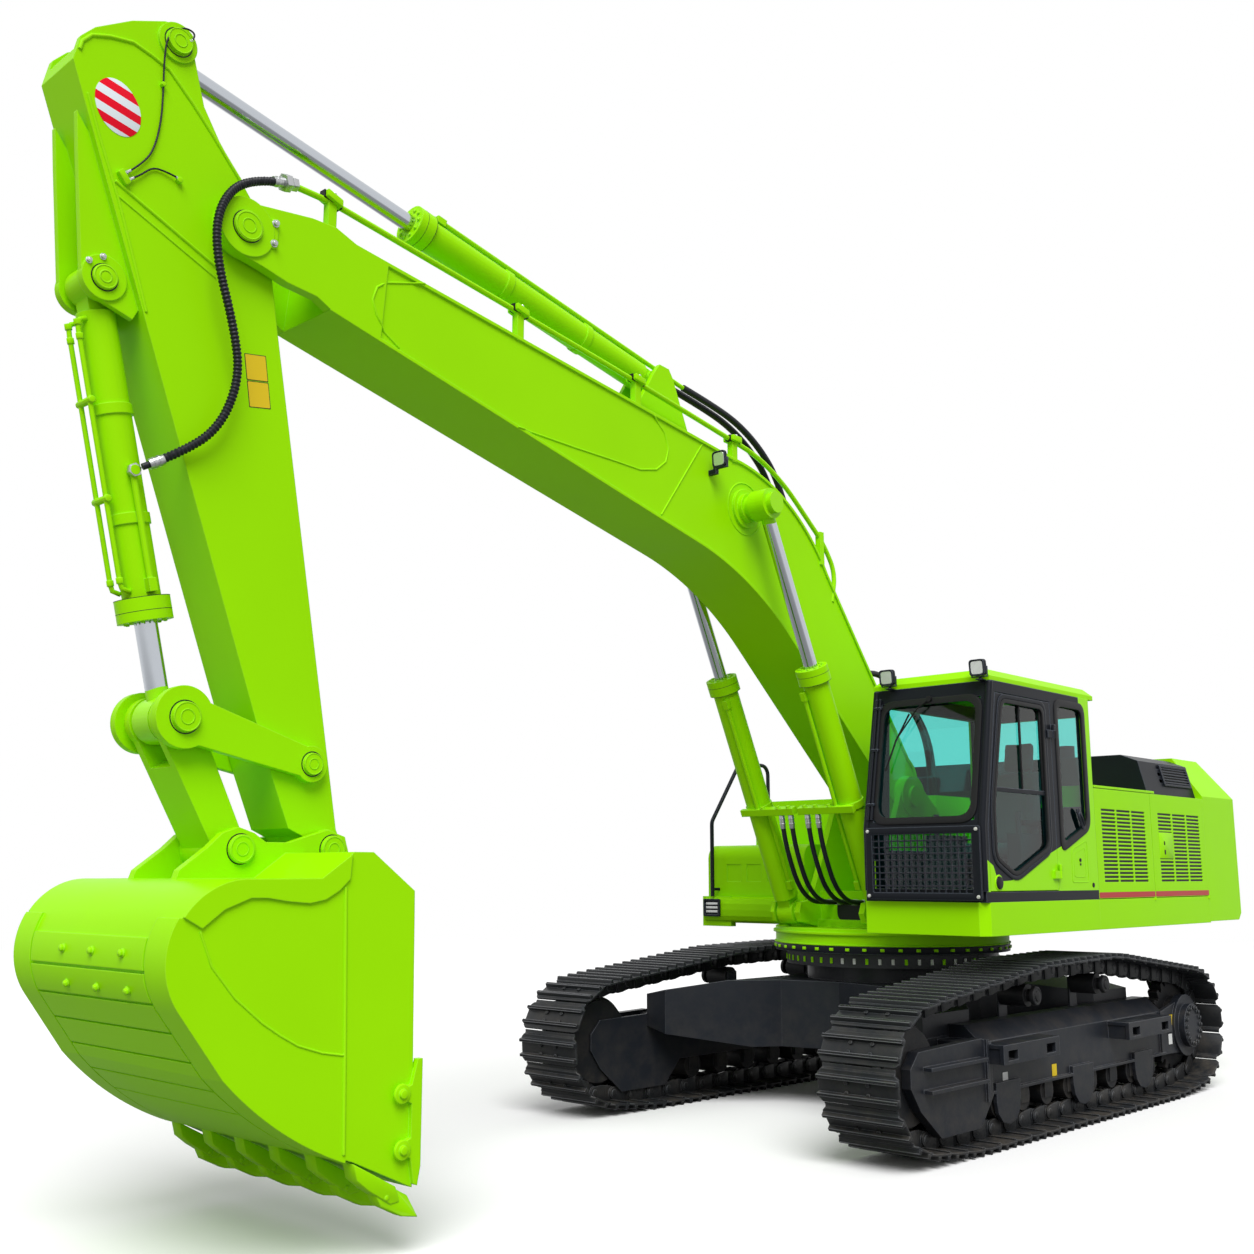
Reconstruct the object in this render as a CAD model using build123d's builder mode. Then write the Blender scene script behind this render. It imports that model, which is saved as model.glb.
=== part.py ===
"""Crawler excavator: track base, slewing house, boom, arm, bucket and their linkage."""
import os
from math import atan2, cos, hypot, pi, radians, sin, sqrt, tan

from build123d import *

# Frame: +X ahead, +Y to the operator's left, +Z up, millimetres.
# The origin lies on the ground under the slewing axis.

# ---- Clearances -------------------------------------------------------------
SEAT = 0.3              # two pieces that carry each other across a joint
JOINT_GAP = 5.0         # beside a moving lug

# ---- Track base -------------------------------------------------------------
TRACK_GAUGE = 2800.0
SHOE_WIDTH = 600.0
SHOE_PITCH = 216.0
SHOE_PLATE = 14.0
GROUSER_HEIGHT = 28.0
GROUSER_BASE = 36.0
GROUSER_TOP = 20.0
CHAIN_HEIGHT = 120.0
RAIL_INNER = 62.0       # chain rail, from the track's middle plane
RAIL_OUTER = 100.0
AXLE_HEIGHT = 540.0
IDLER_X = 2175.0
SPROCKET_X = -2175.0
IDLER_PIN_RADIUS = 385.0
SPROCKET_PIN_RADIUS = 395.0
SPROCKET_TEETH = 23
ROLLER_RADIUS = 100.0
ROLLER_COUNT = 9
FLAT_FRONT_X = 1640.0   # the lower run leaves the ground here
FLAT_REAR_X = -1720.0
CHORD_SAG = 7.5         # a straight link dips this far over a small wheel
CARRIER_RADIUS = 80.0
CARRIER_FRONT_X = 540.0
CARRIER_FRONT_Z = 950.0
CARRIER_REAR_X = -610.0
CARRIER_REAR_Z = 970.0
FRAME_HALF_WIDTH = 120.0
FRAME_LOW_Z = 330.0
FRAME_TOP_Z = 790.0
FRAME_FRONT_X = 1300.0
FRAME_REAR_X = -1760.0

# ---- Slewing base -----------------------------------------------------------
CAR_BODY_TOP = 980.0
PEDESTAL_RADIUS = 700.0
PEDESTAL_TOP = 1100.0
SLEW_RING_RADIUS = 870.0
SLEW_RING_TOP = 1210.0
TURNTABLE_RADIUS = 960.0
DECK_LOW = 1400.0
DECK_TOP = 1460.0

# ---- Slewing house ----------------------------------------------------------
HOUSE_HALF_WIDTH = 1680.0
SKIRT_TOP = 1630.0
HOUSE_REAR_X = -2600.0
HOUSE_TOP = 2500.0
TAIL_RADIUS = 3750.0
TAIL_LOW = 1410.0
TAIL_SHOULDER = 2520.0
TAIL_TOP = 2880.0
PANEL = 40.0            # thickness of doors and side panels
CAB_FRONT_X = 1400.0
CAB_REAR_X = -360.0
CAB_RIGHT_Y = 700.0
CAB_ROOF_Z = 3200.0
CAB_WALL = 50.0
GLASS = 8.0
DOOR_REAR_X = 310.0
CAB_HINGE_OUT = 20.0     # hinge line of the cab's door, outside the house
CAB_HINGE_Z = (1850.0, 2900.0)
SKIRT_BEAM = 230.0       # height of the front beam

# ---- Pins of the working gear (x, z) ----------------------------------------
BOOM_FOOT = (120.0, 2460.0)
BOOM_HEAD = (6500.0, 5250.0)
LIFT_FOOT = (800.0, 1520.0)
LIFT_EYE = (2210.0, 4530.0)
CROWD_FOOT = (3000.0, 5370.0)
CROWD_EYE = (6915.0, 6180.0)
CURL_FOOT = (7205.0, 4765.0)
LINK_PIN = (6675.0, 2591.0)
ROCKER_PIN = (5925.0, 2400.0)
HITCH_PIN = (6335.0, 1948.0)
BUCKET_PIN = (5785.0, 1953.0)

# ---- Widths of the working gear, from the middle plane ----------------------
BOOM_HALF = 270.0
BOOM_FLANGE = 22.0
BOOM_RECESS = 14.0
ARM_HALF = 180.0
ARM_PLATE = 40.0
BRACKET_IN = 285.0      # boom foot brackets of the house
BRACKET_OUT = 335.0
LIFT_PLANE = 440.0      # plane of each boom cylinder
LIFT_EYE_HALF = 75.0
CURL_LUG_IN = 105.0
CURL_LUG_OUT = 140.0
LINK_HALF = 150.0
ROCKER_IN = 187.0
ROCKER_OUT = 235.0
EAR_IN = 192.0
EAR_OUT = 242.0
BUCKET_LIP_HALF = 870.0
BUCKET_HEEL_HALF = 780.0
BUCKET_WALL = 30.0

# ---- Cylinders --------------------------------------------------------------
LIFT_BARREL = dict(length=2040.0, radius=100.0, gland=125.0, rod=52.0, rod_length=1970.0, eye=115.0)
CROWD_BARREL = dict(length=2260.0, radius=102.0, gland=128.0, rod=54.0, rod_length=2300.0, eye=108.0)
CURL_BARREL = dict(length=1730.0, radius=96.0, gland=138.0, rod=58.0, rod_length=1740.0, eye=120.0)
GLAND_LENGTH = 120.0
BARREL_WALL = 18.0

os.makedirs("parts", exist_ok=True)


def across(points, y_low, y_high, mode=Mode.ADD):
    """Extrude a closed X-Z outline from y_low to y_high."""
    with BuildSketch(Plane.XZ.offset(-y_high)) as face:
        with BuildLine():
            Polyline(*points, close=True)
        make_face()
    extrude(face.sketch, amount=y_high - y_low, mode=mode)


def across_both(points, y_low, y_high, mode=Mode.ADD):
    """Extrude a closed X-Z outline on both sides of the middle plane."""
    across(points, y_low, y_high, mode)
    across(points, -y_high, -y_low, mode)


def along(points, x_low, x_high, mode=Mode.ADD):
    """Extrude a closed Y-Z outline from x_low to x_high."""
    with BuildSketch(Plane.YZ.offset(x_low)) as face:
        with BuildLine():
            Polyline(*points, close=True)
        make_face()
    extrude(face.sketch, amount=x_high - x_low, mode=mode)


def upward(points, z_low, z_high, mode=Mode.ADD):
    """Extrude a closed X-Y outline from z_low to z_high."""
    with BuildSketch(Plane.XY.offset(z_low)) as face:
        with BuildLine():
            Polyline(*points, close=True)
        make_face()
    extrude(face.sketch, amount=z_high - z_low, mode=mode)


def pin(centre, radius, y_low, y_high, mode=Mode.ADD):
    """A cylinder along Y at an (x, z) centre."""
    with BuildSketch(Plane.XZ.offset(-y_high)) as face:
        with Locations(centre):
            Circle(radius)
    extrude(face.sketch, amount=y_high - y_low, mode=mode)


def pin_both(centre, radius, y_low, y_high, mode=Mode.ADD):
    pin(centre, radius, y_low, y_high, mode)
    pin(centre, radius, -y_high, -y_low, mode)


def box(x, y, z, mode=Mode.ADD):
    """A block between pairs of limits."""
    with Locations(((x[0] + x[1]) / 2, (y[0] + y[1]) / 2, (z[0] + z[1]) / 2)):
        Box(x[1] - x[0], y[1] - y[0], z[1] - z[0], mode=mode)


def flow(points):
    """Straight runs joined by arcs as wide as the shorter run beside each corner allows."""
    runs = [Vector(b) - Vector(a) for a, b in zip(points, points[1:])]
    radii = []
    for before, after in zip(runs, runs[1:]):
        turn = radians(before.get_angle(after))
        radii.append(0.45 * min(before.length, after.length) / tan(turn / 2))
    return radii


def tube(points, radius):
    """An eight-sided tube along a smooth line; prints its bends and compares its volume."""
    radii = flow(points)
    with BuildPart() as piece:
        with BuildLine() as line:
            FilletPolyline(*points, radius=radii)
        path = line.wires()[0]
        with BuildSketch(Plane(origin=path @ 0, z_dir=path % 0)) as section:
            RegularPolygon(radius, 8)
        sweep(section.sketch, path=path)
    share = piece.part.volume / (section.sketch.area * path.length)
    print("tube", round(path.length), "bends", [round(r) for r in radii], "volume share", round(share, 3))
    return piece.part


# ---- The chain's path round its wheels --------------------------------------

def wheel_path(wheels):
    """Tangent lines and arcs round convex wheels (x, z, radius), going over the top."""
    normals = []
    for (xa, za, ra), (xb, zb, rb) in zip(wheels, wheels[1:] + wheels[:1]):
        span = hypot(xb - xa, zb - za)
        dx, dz = (xb - xa) / span, (zb - za) / span
        tilt = (ra - rb) / span
        side = sqrt(1 - tilt * tilt)
        normals.append((dx * tilt + dz * side, dz * tilt - dx * side))
    runs = []
    for i, (x, z, r) in enumerate(wheels):
        start = atan2(normals[i - 1][1], normals[i - 1][0])
        turn = (atan2(normals[i][1], normals[i][0]) - start) % (2 * pi)
        runs.append(("arc", x, z, r, start, turn * r))
        xn, zn, rn = wheels[(i + 1) % len(wheels)]
        nx, nz = normals[i]
        x0, z0 = x + r * nx, z + r * nz
        x1, z1 = xn + rn * nx, zn + rn * nz
        runs.append(("line", x0, z0, x1, z1, hypot(x1 - x0, z1 - z0)))
    return runs


def points_along(runs, count):
    """Points spaced evenly along the runs of a wheel path."""
    total = sum(run[-1] for run in runs)
    points = []
    for i in range(count):
        left = total * i / count
        for run in runs:
            if left <= run[-1]:
                break
            left -= run[-1]
        if run[0] == "arc":
            angle = run[4] + left / run[3]
            points.append((run[1] + run[3] * cos(angle), run[2] + run[3] * sin(angle)))
        else:
            share = left / run[-1]
            points.append((run[1] + share * (run[3] - run[1]), run[2] + share * (run[4] - run[2])))
    return points


def offset_loop(loop, distance):
    """Move each side of a closed loop outward; corners in line are left out."""
    moved = []
    for i, (x, z) in enumerate(loop):
        xa, za = loop[i - 1]
        xb, zb = loop[(i + 1) % len(loop)]
        la, lb = hypot(x - xa, z - za), hypot(xb - x, zb - z)
        na = ((z - za) / la, (xa - x) / la)
        nb = ((zb - z) / lb, (x - xb) / lb)
        dot = na[0] * nb[0] + na[1] * nb[1]
        if dot < 0.99999:
            share = distance / (1 + dot)
            moved.append((x + share * (na[0] + nb[0]), z + share * (na[1] + nb[1])))
    return moved


def shoe_loop(loop, plate, height):
    """The outer line of the shoes, each with two grousers across it."""
    line = []
    for i, (x, z) in enumerate(loop):
        xb, zb = loop[(i + 1) % len(loop)]
        length = hypot(xb - x, zb - z)
        tx, tz = (xb - x) / length, (zb - z) / length
        nx, nz = tz, -tx
        for middle in (0.24 * length, 0.76 * length):
            for s, d in ((middle - GROUSER_BASE / 2, plate), (middle - GROUSER_TOP / 2, plate + height),
                         (middle + GROUSER_TOP / 2, plate + height), (middle + GROUSER_BASE / 2, plate)):
                line.append((x + tx * s + nx * d, z + tz * s + nz * d))
    return line


chain_half = CHAIN_HEIGHT / 2
pin_line_z = GROUSER_HEIGHT + SHOE_PLATE + chain_half
roller_z = pin_line_z + chain_half + SEAT + ROLLER_RADIUS
roller_pin_radius = roller_z - pin_line_z
wheels = [
    (IDLER_X, AXLE_HEIGHT, IDLER_PIN_RADIUS),
    (CARRIER_FRONT_X, CARRIER_FRONT_Z, CARRIER_RADIUS + chain_half + CHORD_SAG),
    (CARRIER_REAR_X, CARRIER_REAR_Z, CARRIER_RADIUS + chain_half + CHORD_SAG),
    (SPROCKET_X, AXLE_HEIGHT, SPROCKET_PIN_RADIUS),
    (FLAT_REAR_X, roller_z, roller_pin_radius),
    (FLAT_FRONT_X, roller_z, roller_pin_radius),
]
path_runs = wheel_path(wheels)
shoe_count = round(sum(run[-1] for run in path_runs) / SHOE_PITCH)
chain_pins = points_along(path_runs, shoe_count)
track_y = TRACK_GAUGE / 2


def wheel_tread(radius):
    """Largest tread under a chain whose links lie as chords on this pin circle."""
    link = sum(run[-1] for run in path_runs) / shoe_count
    return radius * cos(link / 2 / radius) - chain_half - SEAT


# ---- Tracks -----------------------------------------------------------------

with BuildPart() as track_left:
    across(shoe_loop(chain_pins, chain_half + SHOE_PLATE, GROUSER_HEIGHT),
           track_y - SHOE_WIDTH / 2, track_y + SHOE_WIDTH / 2)
    across(offset_loop(chain_pins, chain_half), track_y - SHOE_WIDTH / 2, track_y + SHOE_WIDTH / 2,
           Mode.SUBTRACT)
    for low, high in ((-RAIL_OUTER, -RAIL_INNER), (RAIL_INNER, RAIL_OUTER)):
        with BuildSketch(Plane.XZ.offset(-(track_y + high))) as rail:
            with BuildLine():
                Polyline(*offset_loop(chain_pins, chain_half + SHOE_PLATE / 2), close=True)
            make_face()
            with BuildLine():
                Polyline(*offset_loop(chain_pins, -chain_half), close=True)
            make_face(mode=Mode.SUBTRACT)
        extrude(amount=high - low)
track_left.part.label = "track_left"
export_step(track_left.part, "parts/track_left.step")

with BuildPart() as track_right:
    mirror(track_left.part, about=Plane.XZ)
track_right.part.label = "track_right"
export_step(track_right.part, "parts/track_right.step")

# Idlers: a broad tread under both rails and a guide ring between them.
idler_tread = wheel_tread(IDLER_PIN_RADIUS)
idler_hub_half = RAIL_OUTER + 4
with BuildPart() as idler_left:
    pin((IDLER_X, AXLE_HEIGHT), idler_tread, track_y - RAIL_OUTER, track_y + RAIL_OUTER)
    pin((IDLER_X, AXLE_HEIGHT), idler_tread + 30, track_y - RAIL_INNER + 8, track_y + RAIL_INNER - 8)
    pin((IDLER_X, AXLE_HEIGHT), 70, track_y - idler_hub_half, track_y + idler_hub_half)
idler_left.part.label = "idler_left"
export_step(idler_left.part, "parts/idler_left.step")
with BuildPart() as idler_right:
    mirror(idler_left.part, about=Plane.XZ)
idler_right.part.label = "idler_right"
export_step(idler_right.part, "parts/idler_right.step")

# Sprockets: teeth reach up between the rails.
sprocket_tread = wheel_tread(SPROCKET_PIN_RADIUS)
tooth_root = sprocket_tread + 22
tooth_tip = sprocket_tread + 80
SPROCKET_HALF = 42.0
with BuildPart() as sprocket_left:
    with BuildSketch(Plane.XZ.offset(-(track_y + SPROCKET_HALF))) as teeth:
        with BuildLine():
            tooth_line = []
            for i in range(SPROCKET_TEETH):
                for turn, radius in ((-0.34, tooth_root), (-0.14, tooth_tip), (0.14, tooth_tip),
                                     (0.34, tooth_root)):
                    angle = 2 * pi * (i + turn) / SPROCKET_TEETH
                    tooth_line.append((SPROCKET_X + radius * cos(angle), AXLE_HEIGHT + radius * sin(angle)))
            Polyline(*tooth_line, close=True)
        make_face()
    extrude(amount=2 * SPROCKET_HALF)
    pin((SPROCKET_X, AXLE_HEIGHT), 240, track_y - RAIL_OUTER, track_y + RAIL_OUTER)
sprocket_left.part.label = "sprocket_left"
export_step(sprocket_left.part, "parts/sprocket_left.step")
with BuildPart() as sprocket_right:
    mirror(sprocket_left.part, about=Plane.XZ)
sprocket_right.part.label = "sprocket_right"
export_step(sprocket_right.part, "parts/sprocket_right.step")

# Lower rollers hang under the frame's channel; carrier rollers stand on its brackets.
roller_front_x = FLAT_FRONT_X - SHOE_PITCH
roller_step = (roller_front_x - FLAT_REAR_X - SHOE_PITCH) / (ROLLER_COUNT - 1)
fork_in = idler_hub_half + SEAT
fork_rear_x = FRAME_FRONT_X - 60
with BuildPart() as rollers_left:
    for i in range(ROLLER_COUNT):
        x = roller_front_x - i * roller_step
        pin((x, roller_z), ROLLER_RADIUS, track_y - idler_hub_half, track_y + idler_hub_half)
        if x + 60 < fork_rear_x:
            for y in ((-FRAME_HALF_WIDTH, -idler_hub_half), (idler_hub_half, FRAME_HALF_WIDTH)):
                box((x - 60, x + 60), (track_y + y[0], track_y + y[1]), (roller_z - 45, FRAME_LOW_Z))
    for x, z in ((CARRIER_FRONT_X, CARRIER_FRONT_Z), (CARRIER_REAR_X, CARRIER_REAR_Z)):
        pin((x, z), CARRIER_RADIUS, track_y - idler_hub_half, track_y + idler_hub_half)
        pin((x, z), 45, track_y + idler_hub_half, track_y + 150)
rollers_left.part.label = "rollers_left"
export_step(rollers_left.part, "parts/rollers_left.step")
with BuildPart() as rollers_right:
    mirror(rollers_left.part, about=Plane.XZ)
rollers_right.part.label = "rollers_right"
export_step(rollers_right.part, "parts/rollers_right.step")

# ---- Track frames -----------------------------------------------------------

def on_track(pairs):
    """Shift (y, z) pairs given from a track's middle plane."""
    return [(track_y + y, z) for y, z in pairs]


CHANNEL_TOP = 390.0
FORK_OUT = 175.0
MOTOR_RADIUS = 255.0
HOOK_X = (980, -190, -1290)
HOOK = [(-170, 400), (-170, 270), (-148, 190), (-92, 132), (0, 110), (92, 132), (148, 190), (170, 270),
        (170, 400)]
STEPS_X = ((480, 1300), (-1530, -710))
with BuildPart() as track_frame_left:
    along(on_track([(-FRAME_HALF_WIDTH, FRAME_LOW_Z), (-FRAME_HALF_WIDTH, FRAME_TOP_Z), (0, FRAME_TOP_Z),
                    (FRAME_HALF_WIDTH, 680), (FRAME_HALF_WIDTH, FRAME_LOW_Z), (fork_in, FRAME_LOW_Z),
                    (fork_in, CHANNEL_TOP), (-fork_in, CHANNEL_TOP), (-fork_in, FRAME_LOW_Z)]),
          FRAME_REAR_X, FRAME_FRONT_X)
    # Fork that carries the idler's axle.
    fork = [(fork_rear_x, FRAME_LOW_Z), (1420, 140), (1930, 140), (2170, 330), (2280, 480),
            (2280, 600), (2180, 700), (FRAME_FRONT_X + 80, 720), (fork_rear_x, 680)]
    across(fork, track_y + fork_in, track_y + FORK_OUT)
    across(fork, track_y - FRAME_HALF_WIDTH, track_y - fork_in)
    box((fork_rear_x, 1480), (track_y - FRAME_HALF_WIDTH, track_y + fork_in), (400, 700))
    for z in (450, 590):
        box((1400, 2130), (track_y + FORK_OUT, track_y + 240), (z - 12, z + 12))
    # Rear plates and the hydraulic travel motor with its round cover.
    rear = [(FRAME_REAR_X + 60, FRAME_LOW_Z), (FRAME_REAR_X + 60, 680), (SPROCKET_X + 40, 760),
            (SPROCKET_X - 190, 640), (SPROCKET_X - 190, 430), (SPROCKET_X + 60, 320)]
    across(rear, track_y + fork_in, track_y + FRAME_HALF_WIDTH + 20)
    across(rear, track_y - FRAME_HALF_WIDTH - 60, track_y - fork_in)
    pin((SPROCKET_X, AXLE_HEIGHT), MOTOR_RADIUS, track_y + RAIL_OUTER + SEAT, track_y + 165)
    pin((SPROCKET_X, AXLE_HEIGHT), 180, track_y + 165, track_y + 220)
    # Brackets of the carrier rollers.
    for x, z in ((CARRIER_FRONT_X, CARRIER_FRONT_Z), (CARRIER_REAR_X, CARRIER_REAR_Z)):
        box((x - 60, x + 60), (track_y - FRAME_HALF_WIDTH, track_y - fork_in), (FRAME_TOP_Z - 150, z + 45))
    # Lower flange, and the upright flange where the fork is bolted on.
    box((FRAME_REAR_X, fork_rear_x), (track_y + FRAME_HALF_WIDTH, track_y + FRAME_HALF_WIDTH + 28),
        (FRAME_LOW_Z, FRAME_LOW_Z + 20))
    box((FRAME_FRONT_X + 12, FRAME_FRONT_X + 42), (track_y + FRAME_HALF_WIDTH, track_y + FORK_OUT + 20),
        (300, 710))
    # Tongues that keep the chain in line.
    for x in HOOK_X:
        across([(x + dx, z) for dx, z in HOOK], track_y + FRAME_HALF_WIDTH, track_y + 150)
    # Hollow climbing steps with an opening near each end.
    for x0, x1 in STEPS_X:
        along(on_track([(FRAME_HALF_WIDTH, 675), (SHOE_WIDTH / 2, 675), (SHOE_WIDTH / 2, 545), (270, 545),
                        (270, 650), (FRAME_HALF_WIDTH, 650)]), x0, x1)
        for x in (x0 + 130, x1 - 130):
            box((x - 70, x + 70), (track_y + 265, track_y + SHOE_WIDTH / 2 + 5), (570, 635), Mode.SUBTRACT)
        for x in (x0 + 20, (x0 + x1) / 2, x1 - 20):
            box((x - 10, x + 10), (track_y + FRAME_HALF_WIDTH, track_y + 270), (545, 650))
track_frame_left.part.label = "track_frame_left"
export_step(track_frame_left.part, "parts/track_frame_left.step")
with BuildPart() as track_frame_right:
    mirror(track_frame_left.part, about=Plane.XZ)
track_frame_right.part.label = "track_frame_right"
export_step(track_frame_right.part, "parts/track_frame_right.step")

# ---- Car body ---------------------------------------------------------------

LEG_END_Y = track_y - FRAME_HALF_WIDTH
with BuildPart() as car_body:
    quarter = [(780, 0), (900, 480), (1640, 1080), (1640, LEG_END_Y), (1010, LEG_END_Y), (460, 860), (0, 800)]
    outline = quarter + [(-x, y) for x, y in quarter[-2::-1]]
    outline += [(x, -y) for x, y in outline[-2:0:-1]]
    upward(outline, 440, CAR_BODY_TOP)
    half = [(0, CAR_BODY_TOP), (760, CAR_BODY_TOP), (LEG_END_Y, 870), (LEG_END_Y, 620), (640, 460), (0, 460)]
    along(half + [(-y, z) for y, z in half[-2:0:-1]], -1700, 1700, Mode.INTERSECT)
    with BuildSketch(Plane.XY.offset(CAR_BODY_TOP)):
        Circle(PEDESTAL_RADIUS)
    extrude(amount=PEDESTAL_TOP - CAR_BODY_TOP)
car_body.part.label = "car_body"
export_step(car_body.part, "parts/car_body.step")

with BuildPart() as slew_ring:
    with BuildSketch(Plane.XY.offset(PEDESTAL_TOP)):
        Circle(SLEW_RING_RADIUS)
    extrude(amount=SLEW_RING_TOP - SEAT - PEDESTAL_TOP)
slew_ring.part.label = "slew_ring"
export_step(slew_ring.part, "parts/slew_ring.step")

# ---- Turntable frame --------------------------------------------------------
DECK_EDGE = HOUSE_HALF_WIDTH - PANEL
TANK_FRONT_X = 380.0
BEAM_FRONT_X = 640.0
BULKHEAD_X = BEAM_FRONT_X - 45
with BuildPart() as main_frame:
    with BuildSketch(Plane.XY.offset(SLEW_RING_TOP)):
        Circle(TURNTABLE_RADIUS)
    extrude(amount=DECK_LOW - SLEW_RING_TOP)
    upward([(HOUSE_REAR_X, -DECK_EDGE), (TANK_FRONT_X, -DECK_EDGE), (TANK_FRONT_X, -600),
            (BEAM_FRONT_X, -600),
            (BEAM_FRONT_X, CAB_RIGHT_Y), (CAB_REAR_X, CAB_RIGHT_Y), (CAB_REAR_X, DECK_EDGE),
            (HOUSE_REAR_X, DECK_EDGE)], DECK_LOW, DECK_TOP)
    # Upright plates that hold the boom's foot and the inner ends of its cylinders' pins.
    fx, fz = BOOM_FOOT
    lx, lz = LIFT_FOOT
    across_both([(fx - 1450, DECK_LOW), (fx - 1450, DECK_TOP + 60), (fx - 150, fz + 80), (fx + 150, fz + 80),
                 (fx + 330, fz - 300), (lx - 80, lz + 95), (lx + 60, lz + 80), (lx + 95, lz),
                 (lx + 60, lz - 75),
                 (BEAM_FRONT_X, DECK_LOW)], BRACKET_IN, BRACKET_OUT)
    pin_both(BOOM_FOOT, 170, BRACKET_IN, BRACKET_OUT + 12)
    pin_both(BOOM_FOOT, 85, BRACKET_OUT, BRACKET_OUT + 35)
    # Outer ears of the boom cylinders' pins.
    ear_y = LIFT_PLANE + LIFT_BARREL["radius"] + JOINT_GAP
    across_both([(BEAM_FRONT_X - 90, DECK_LOW), (BEAM_FRONT_X - 90, DECK_TOP + 90), (lx - 80, lz + 95),
                 (lx + 60, lz + 80), (lx + 95, lz), (lx + 60, lz - 75), (BEAM_FRONT_X, DECK_LOW)], ear_y,
                 ear_y + 35)
    pin_both(LIFT_FOOT, 70, ear_y + 35, ear_y + 52)
    box((fx - 900, BEAM_FRONT_X - 60), (-BRACKET_IN, BRACKET_IN), (DECK_TOP, DECK_TOP + 60))
    box((BEAM_FRONT_X - 80, BULKHEAD_X), (-BRACKET_IN, BRACKET_IN), (DECK_TOP, DECK_TOP + 230))
main_frame.part.label = "main_frame"
export_step(main_frame.part, "parts/main_frame.step")

with BuildPart() as cab_platform:
    upward([(CAB_REAR_X, CAB_RIGHT_Y + SEAT), (CAB_FRONT_X + 10, CAB_RIGHT_Y + SEAT),
            (CAB_FRONT_X + 10, HOUSE_HALF_WIDTH - 60), (CAB_FRONT_X - 50, HOUSE_HALF_WIDTH),
            (CAB_REAR_X, HOUSE_HALF_WIDTH)], DECK_LOW, SKIRT_TOP)
cab_platform.part.label = "cab_platform"
export_step(cab_platform.part, "parts/cab_platform.step")

DOOR_LOW = SKIRT_TOP + JOINT_GAP
DOOR_SPLIT_X = -1435.0
DOOR_HIGH = HOUSE_TOP - JOINT_GAP
HINGE_PIN = 12.0


def post(x, y, radius, z_low, z_high, mode=Mode.ADD):
    """An upright cylinder."""
    with BuildSketch(Plane.XY.offset(z_low)) as face:
        with Locations((x, y)):
            Circle(radius)
    extrude(face.sketch, amount=z_high - z_low, mode=mode)


with BuildPart() as side_skirts:
    box((HOUSE_REAR_X, CAB_REAR_X), (DECK_EDGE, HOUSE_HALF_WIDTH), (DECK_LOW, SKIRT_TOP))
    box((HOUSE_REAR_X, TANK_FRONT_X + 40), (-HOUSE_HALF_WIDTH, -DECK_EDGE), (DECK_LOW, SKIRT_TOP))
    # Round-backed front beam with a flange, and the corner lamp's housing.
    half_round = [(TANK_FRONT_X + reach * SKIRT_BEAM, SKIRT_TOP - drop * SKIRT_BEAM) for reach, drop in
                  ((0, 0), (0.22, 0.01), (0.39, 0.1), (0.48, 0.27), (0.5, 0.5), (0.48, 0.73), (0.39, 0.9),
                   (0.22, 0.99), (0, 1))]
    across(half_round, -DECK_EDGE, -700)
    box((TANK_FRONT_X, TANK_FRONT_X + 70), (-HOUSE_HALF_WIDTH, -1360), (DECK_LOW - 30, SKIRT_TOP))
    box((TANK_FRONT_X, TANK_FRONT_X + 128), (-720, -690), (DECK_LOW, SKIRT_TOP + 5))
    # Pins that the side doors turn on.
    for x, y in ((DOOR_SPLIT_X + JOINT_GAP, HOUSE_HALF_WIDTH), (HOUSE_REAR_X + 1, HOUSE_HALF_WIDTH),
                 (HOUSE_REAR_X + 1, -HOUSE_HALF_WIDTH)):
        post(x + HINGE_PIN, y, HINGE_PIN, SKIRT_TOP - 20, DOOR_LOW - SEAT)
side_skirts.part.label = "side_skirts"
export_step(side_skirts.part, "parts/side_skirts.step")

# ---- Counterweight: a turned tail trimmed to the house's width --------------
with BuildPart() as counterweight:
    with BuildSketch(Plane.XZ) as tail:
        with BuildLine():
            Polyline((0, TAIL_LOW), (TAIL_RADIUS - 60, TAIL_LOW), (TAIL_RADIUS, TAIL_LOW + 60),
                     (TAIL_RADIUS, TAIL_SHOULDER), (TAIL_RADIUS - 260, TAIL_TOP), (0, TAIL_TOP), close=True)
        make_face()
    revolve(axis=Axis.Z)
    side = [(HOUSE_HALF_WIDTH, TAIL_LOW - 10), (HOUSE_HALF_WIDTH, TAIL_SHOULDER),
            (HOUSE_HALF_WIDTH - 260, TAIL_TOP + 10)]
    along(side + [(-y, z) for y, z in side[::-1]], -TAIL_RADIUS - 10, HOUSE_REAR_X - SEAT, Mode.INTERSECT)
counterweight.part.label = "counterweight"
export_step(counterweight.part, "parts/counterweight.step")

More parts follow.
